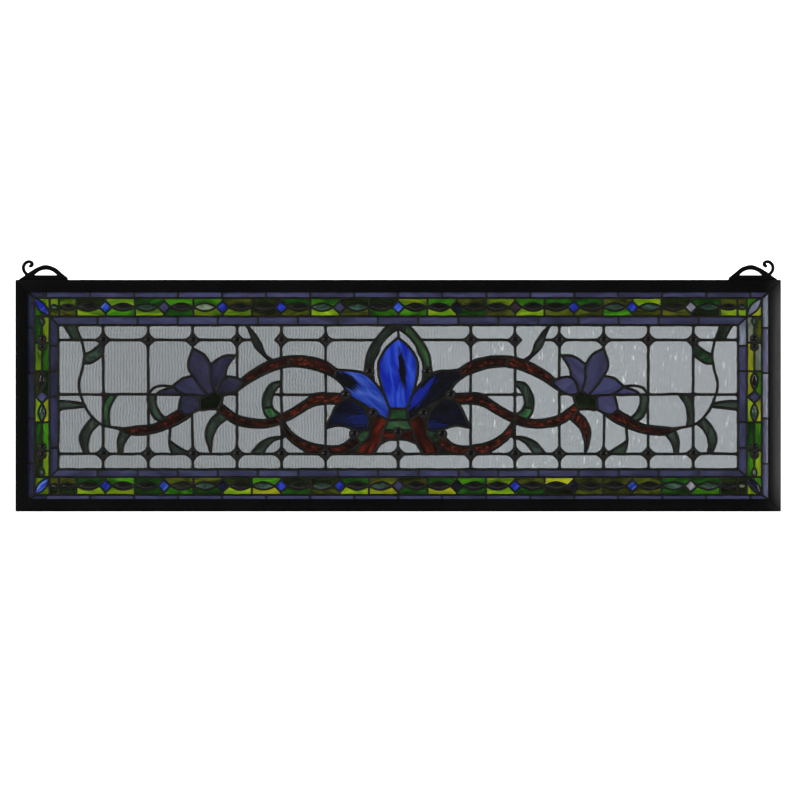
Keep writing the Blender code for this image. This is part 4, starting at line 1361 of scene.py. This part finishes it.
def hanger_outlines():
    """Outline and eye of a hanger, from the window's outer edge inwards and from the rail upwards."""
    cast, corner_rise, steps = sizes("hanger"), 0.5 * MM, 24
    radius = ((cast.eye_width / 2) ** 2 + cast.eye_height**2) / (2 * cast.eye_height)
    start = cast.eye_centre - cast.eye_width / 2
    eye = []
    for i in range(steps + 1):
        x = cast.eye_width * (i / steps - 0.5)
        rise = cast.eye_height - radius + math.sqrt(max(radius**2 - x**2, 0))
        eye.append(Vector((cast.eye_centre + x, cast.eye_bar + max(rise, corner_rise))))
    eye += [Vector((start + cast.eye_width, cast.eye_bar)), Vector((start, cast.eye_bar))]
    top = cast.eye_bar + cast.eye_height + cast.arch_bar
    inner_end = cast.setback + cast.length
    arch = [Vector((cast.eye_centre + x * cast.eye_width, z * top)) for x, z in ARCH]
    arch = smooth([*arch, Vector((inner_end, cast.toe))], 6)
    grow = cast.height / (max(z for _, z in SCROLL) * MM + cast.scroll_bar / 2)
    path = smooth([Vector((cast.setback + x * MM, z * grow * MM)) for x, z in SCROLL], 5)
    outer_side, inner_side, tip = [], [], []
    for before, point, after in zip(path[:1] + path[:-1], path, path[1:] + path[-1:]):
        way = (after - before).normalized()
        side = Vector((-way.y, way.x)) * cast.scroll_bar / 2
        outer_side.append(point + side)
        inner_side.append(point - side)
    for turn in (0.6, 1.2, 1.9, 2.5):
        tip.append(path[-1] + side * math.cos(turn) + way * cast.scroll_bar / 2 * math.sin(turn))
    curl = [*outer_side, *tip, *reversed(inner_side)]
    foot = -sizes("frame").gap
    return [Vector((cast.setback, foot)), *curl, *arch, Vector((inner_end, foot))], eye


def hanger(side, finish):
    """A cast hanger: a curl, an arch over a flat-bottomed eye and a foot, with rounded edges."""
    outer, cast = sizes("frame"), sizes("hanger")
    name = f"hanger_{side}_cast"
    half, edge = cast.thickness / 2, cast.edge
    turns = [math.pi / 2 * i / 3 for i in range(3, -1, -1)]
    levels = [(edge * (1 - math.cos(t)), edge - half - edge * math.sin(t)) for t in turns]
    levels += [(inward, -y) for inward, y in reversed(levels)]
    points, faces, flat, loops, ids = [], [], [], [], []
    for outline, way in zip(hanger_outlines(), (1, -1)):
        spots = [Vector((SIDES[side] * (outer.width / 2 - p.x), p.y)) for p in outline]
        if area(spots) * way < 0:
            spots.reverse()
        first, around = len(points), len(spots)
        for inward, y in levels:
            points += [(p.x, y, p.y) for p in grown(spots, -inward)]
        for row in range(len(levels) - 1):
            a, b = first + row * around, first + (row + 1) * around
            faces += [[a + i, b + i, b + (i + 1) % around, a + (i + 1) % around] for i in range(around)]
        loops.append(list(range(len(flat), len(flat) + around))[::way])
        flat += grown(spots, -levels[0][0])
        ids += [(first + i, first + i + (len(levels) - 1) * around) for i in range(around)]
    _, _, triangles, spot_sources, _, face_sources = delaunay_2d_cdt(flat, [], loops, 1, 1e-7)
    for face, source in zip(triangles, face_sources):
        if source == [0]:
            front, back = zip(*(ids[spot_sources[i][0]] for i in face))
            faces += [list(front), list(back)[::-1]]
    mesh = bpy.data.meshes.new(name)
    mesh.from_pydata(points, [], faces)
    mesh.polygons.foreach_set("use_smooth", [True] * len(faces))
    mesh.materials.append(finish)
    mesh.set_sharp_from_angle(angle=math.radians(35))
    made = placed(name, mesh, [f"hanger_{side}"])
    made.location = (0, 0, window_middle() + outer.height / 2 + outer.gap)


def studio_shell(stage, sides=96, bend_steps=12):
    """A round floor that curves up into a wall behind the window: points and faces."""
    bend = stage.radius * 0.3
    profile = [(0.02, 0), (stage.radius * 0.5, 0)]
    for i in range(bend_steps + 1):
        turn = math.pi / 2 * i / bend_steps
        profile.append((stage.radius - bend + bend * math.sin(turn), bend - bend * math.cos(turn)))
    profile.append((stage.radius, stage.wall))
    deep, points, faces = len(profile), [], []
    for i in range(sides):
        turn = math.tau * i / sides
        points += [(r * math.cos(turn), r * math.sin(turn), stage.floor + h) for r, h in profile]
        a, b = i * deep, (i + 1) % sides * deep
        steps = deep - 1 if math.sin(math.tau * (i + 0.5) / sides) > -0.2 else 1
        faces += [[a + j, b + j, b + j + 1, a + j + 1] for j in range(steps)]
    faces.append([i * deep for i in range(sides)][::-1])
    return points, faces


def light(name, place, aim, size, power, spread=180):
    """A rectangular lamp: place, aim, two sizes, watts and spread in degrees."""
    lamp = bpy.data.lights.new(name, "AREA")
    lamp.shape = "RECTANGLE"
    lamp.size, lamp.size_y = size
    lamp.energy = power
    lamp.spread = math.radians(spread)
    made = bpy.data.objects.new(name, lamp)
    made.location = place
    made.rotation_euler = (Vector(aim) - Vector(place)).to_track_quat("-Z", "Y").to_euler()
    bpy.context.scene.collection.objects.link(made)


# Operators


class WINDOW_OT_lead(bpy.types.Operator):
    """Build the soldered lead net"""

    bl_idname = "window.lead"
    bl_label = "Lead net"

    def execute(self, context):
        lead_net(lead_metal())
        return {"FINISHED"}


class WINDOW_OT_coloured_glass(bpy.types.Operator):
    """Build the coloured pieces of the flower, vines and leaves"""

    bl_idname = "window.coloured_glass"
    bl_label = "Coloured glass"

    def execute(self, context):
        finish = art_glass("streaky_glass", 34, 130)
        stem_finish = art_glass("stem_glass", 150, 330, 0.46, 0.7)
        for name, pane, glass, run, slot in named_seeds():
            shape = Shape()
            shape.glaze(pane, tone_of(glass, run, name))
            shape.finish(name + "_glass", stem_finish if "stem" in glass else finish, slot, [name])
        shape = Shape()
        for name, pane, glass, run in small_seeds():
            shape.glaze(pane, tone_of(glass, run, name))
        shape.finish("small_coloured_panes", finish, "leaf_glass")
        return {"FINISHED"}


class WINDOW_OT_clear_glass(bpy.types.Operator):
    """Build the clear panes of the field"""

    bl_idname = "window.clear_glass"
    bl_label = "Clear glass"

    def execute(self, context):
        taken = [pane for _, pane, *_ in named_seeds() + small_seeds()]
        shape = Shape()
        for index, pane in enumerate(panes()):
            if pane["zone"] == "field" and not any(pane is other for other in taken):
                # Panes lighter towards the right and darker towards the left: painted light
                lift = 1 + 0.07 * math.tanh(middle_of(pane["cell"]).x / 0.1)
                shape.glaze(pane, tone_of("clear", 90, f"clear{index}", 0.02, lift))
        shape.finish("clear_panes", clear_glass(), "lead")
        return {"FINISHED"}


class WINDOW_OT_border_glass(bpy.types.Operator):
    """Build the purple strips, the green slips, the lens beads and the diamonds"""

    bl_idname = "window.border_glass"
    bl_label = "Border glass"

    def execute(self, context):
        front = glass_front()
        strips, slips, beads = Shape(), Shape(), Shape()
        domes = {
            "diamond": [(1.0, front), (0.82, front - 1.1 * MM), (0.78, front - 1.2 * MM)],
            "lens": [(1.0, front), *pillow(1.5 * MM, front - 0.1 * MM)],
        }
        for index, pane in enumerate(panes()):
            if pane["zone"] in PAINTED_REFLECTION_SPANS:
                strips.glaze(pane, strip_tone(pane, index))
            elif pane["zone"] == "band":
                form, glass, run = band_piece(pane["cell"])
                if form == "slip":
                    slips.glaze(pane, tone_of(glass, run, f"slip{index}", 0.15))
                    continue
                for outline in glass_outlines(pane):
                    piece = domed(outline, domes[form], -front)
                    beads.add(*piece, tone_of(glass, run, f"{form}{index}"), form == "lens")
        strips.finish("strip_tiles", art_glass("strip_glass", 40, 120), "slate_glass")
        slips.finish("green_slips", art_glass("slip_glass", 45, 160, 0.3, 0.75), "green_glass")
        beads.finish("beads_and_diamonds", pressed_glass("bead_glass", 0.14, 0.28), "cobalt_glass")
        return {"FINISHED"}


class WINDOW_OT_jewels(bpy.types.Operator):
    """Build the round jewels and the solder around them"""

    bl_idname = "window.jewels"
    bl_label = "Jewels"

    def execute(self, context):
        jewel, front = sizes("jewel"), glass_front()
        stones, collars = Shape(), Shape()
        for index, (centre, around, _) in enumerate(rings()):
            radius = jewel.border_radius if around < jewel.flower_ring else jewel.radius
            centre = strayed(centre, sizes("lead").wander)
            stone = round_piece(centre, radius, front, jewel.sides)
            stones.add(*stone, tone_of("jewel", 0, f"jewel{index}"), True)
            collars.add(*collar(centre, radius + 0.2 * MM, front - 0.7 * MM, jewel.sides), None, True)
        stones.finish("round_jewels", pressed_glass("jewel_glass", 0.06, 0.2), "red_brown_glass")
        collars.finish("jewel_collars", bpy.data.materials["lead"], "lead")
        return {"FINISHED"}


class WINDOW_OT_frame(bpy.types.Operator):
    """Build the four rails of the frame"""

    bl_idname = "window.frame"
    bl_label = "Frame"

    def execute(self, context):
        outer = sizes("frame")
        finish = black_metal("black_frame", 0.002, 0.0036, 0.45, 240.0)
        half_width, half_height = outer.width / 2, outer.height / 2
        rail("bottom", outer.width, 0, 0, -half_height, finish)
        rail("top", outer.width, math.pi, 0, half_height, finish)
        rail("left", outer.height, math.pi / 2, -half_width, 0, finish)
        rail("right", outer.height, -math.pi / 2, half_width, 0, finish)
        return {"FINISHED"}


class WINDOW_OT_hangers(bpy.types.Operator):
    """Build the two cast hangers"""

    bl_idname = "window.hangers"
    bl_label = "Hangers"

    def execute(self, context):
        finish = black_metal("black_hanger", 0.002, 0.0035, 0.5, 500.0)
        for side in SIDES:
            hanger(side, finish)
        return {"FINISHED"}


class WINDOW_OT_stage(bpy.types.Operator):
    """Build the pale floor, the wall behind the window, the lights and the camera"""

    bl_idname = "window.stage"
    bl_label = "Stage"

    def execute(self, context):
        stage, scene = sizes("stage"), context.scene
        points, faces = studio_shell(stage)
        mesh = bpy.data.meshes.new("studio")
        mesh.from_pydata(points, [], faces)
        mesh.polygons.foreach_set("use_smooth", [True] * len(faces))
        graph = Graph("studio")
        graph.plain(Base_Color=(*stage.tone, 1), Roughness=0.9, Specular_IOR_Level=0.1)
        mesh.materials.append(graph.material)
        studio = bpy.data.objects.new("studio", mesh)
        scene.collection.objects.link(studio)
        world = scene.world or bpy.data.worlds.new("studio_air")
        scene.world = world
        world.use_nodes = True
        background = world.node_tree.nodes["Background"]
        background.inputs["Color"].default_value = (0.95, 0.97, 1, 1)
        background.inputs["Strength"].default_value = 0.17
        middle = window_middle()
        window = (0, 0, middle)
        light("back_wash", (0, 2.2, 2.6), (0, 7, 0), (4, 2), 620)
        light("key", (-2.4, -2.6, 1.9), window, (1.4, 1.4), 33)
        light("fill", (0.46, -0.3, middle), (0.44, 0, middle), (0.02, 0.24), 0.2, 12)
        for side, way in SIDES.items():
            light(f"softbox_{side}", (way * 3.0, -1.75, 0.5), window, (1.3, 1.3), 46)
        camera = bpy.data.objects.new("camera", bpy.data.cameras.new("camera"))
        camera.data.lens = stage.focal
        camera.data.clip_end = 60
        camera.location = (stage.aim_x, -stage.distance, middle + stage.aim_z)
        camera.rotation_euler = (math.pi / 2, 0, 0)
        scene.collection.objects.link(camera)
        scene.camera = camera
        scene.view_settings.view_transform = "Standard"
        return {"FINISHED"}


OPERATORS = (
    WINDOW_OT_lead,
    WINDOW_OT_coloured_glass,
    WINDOW_OT_clear_glass,
    WINDOW_OT_border_glass,
    WINDOW_OT_jewels,
    WINDOW_OT_frame,
    WINDOW_OT_hangers,
    WINDOW_OT_stage,
)


class WINDOW_PT_panel(bpy.types.Panel):
    """Sizes and build steps of the window"""

    bl_label = "Stained Glass Window"
    bl_idname = "WINDOW_PT_panel"
    bl_space_type = "VIEW_3D"
    bl_region_type = "UI"
    bl_category = "Window"

    def draw(self, context):
        for name, group in GROUPS.items():
            box = self.layout.box()
            box.label(text=name.replace("_", " ").capitalize())
            for key in group.__annotations__:
                box.prop(getattr(context.scene, name), key)
        for operator in OPERATORS:
            self.layout.operator(operator.bl_idname)


def register():
    for group in GROUPS.values():
        bpy.utils.register_class(group)
    for name, group in GROUPS.items():
        setattr(bpy.types.Scene, name, PointerProperty(type=group))
    for made in (*OPERATORS, WINDOW_PT_panel):
        bpy.utils.register_class(made)


def unregister():
    for made in reversed((*OPERATORS, WINDOW_PT_panel)):
        bpy.utils.unregister_class(made)
    for name, group in reversed(GROUPS.items()):
        delattr(bpy.types.Scene, name)
        bpy.utils.unregister_class(group)


def main():
    noise.seed_set(WANDER_SEED)
    register()
    for operator in OPERATORS:
        group, name = operator.bl_idname.split(".")
        getattr(getattr(bpy.ops, group), name)()


if __name__ == "__main__":
    main()
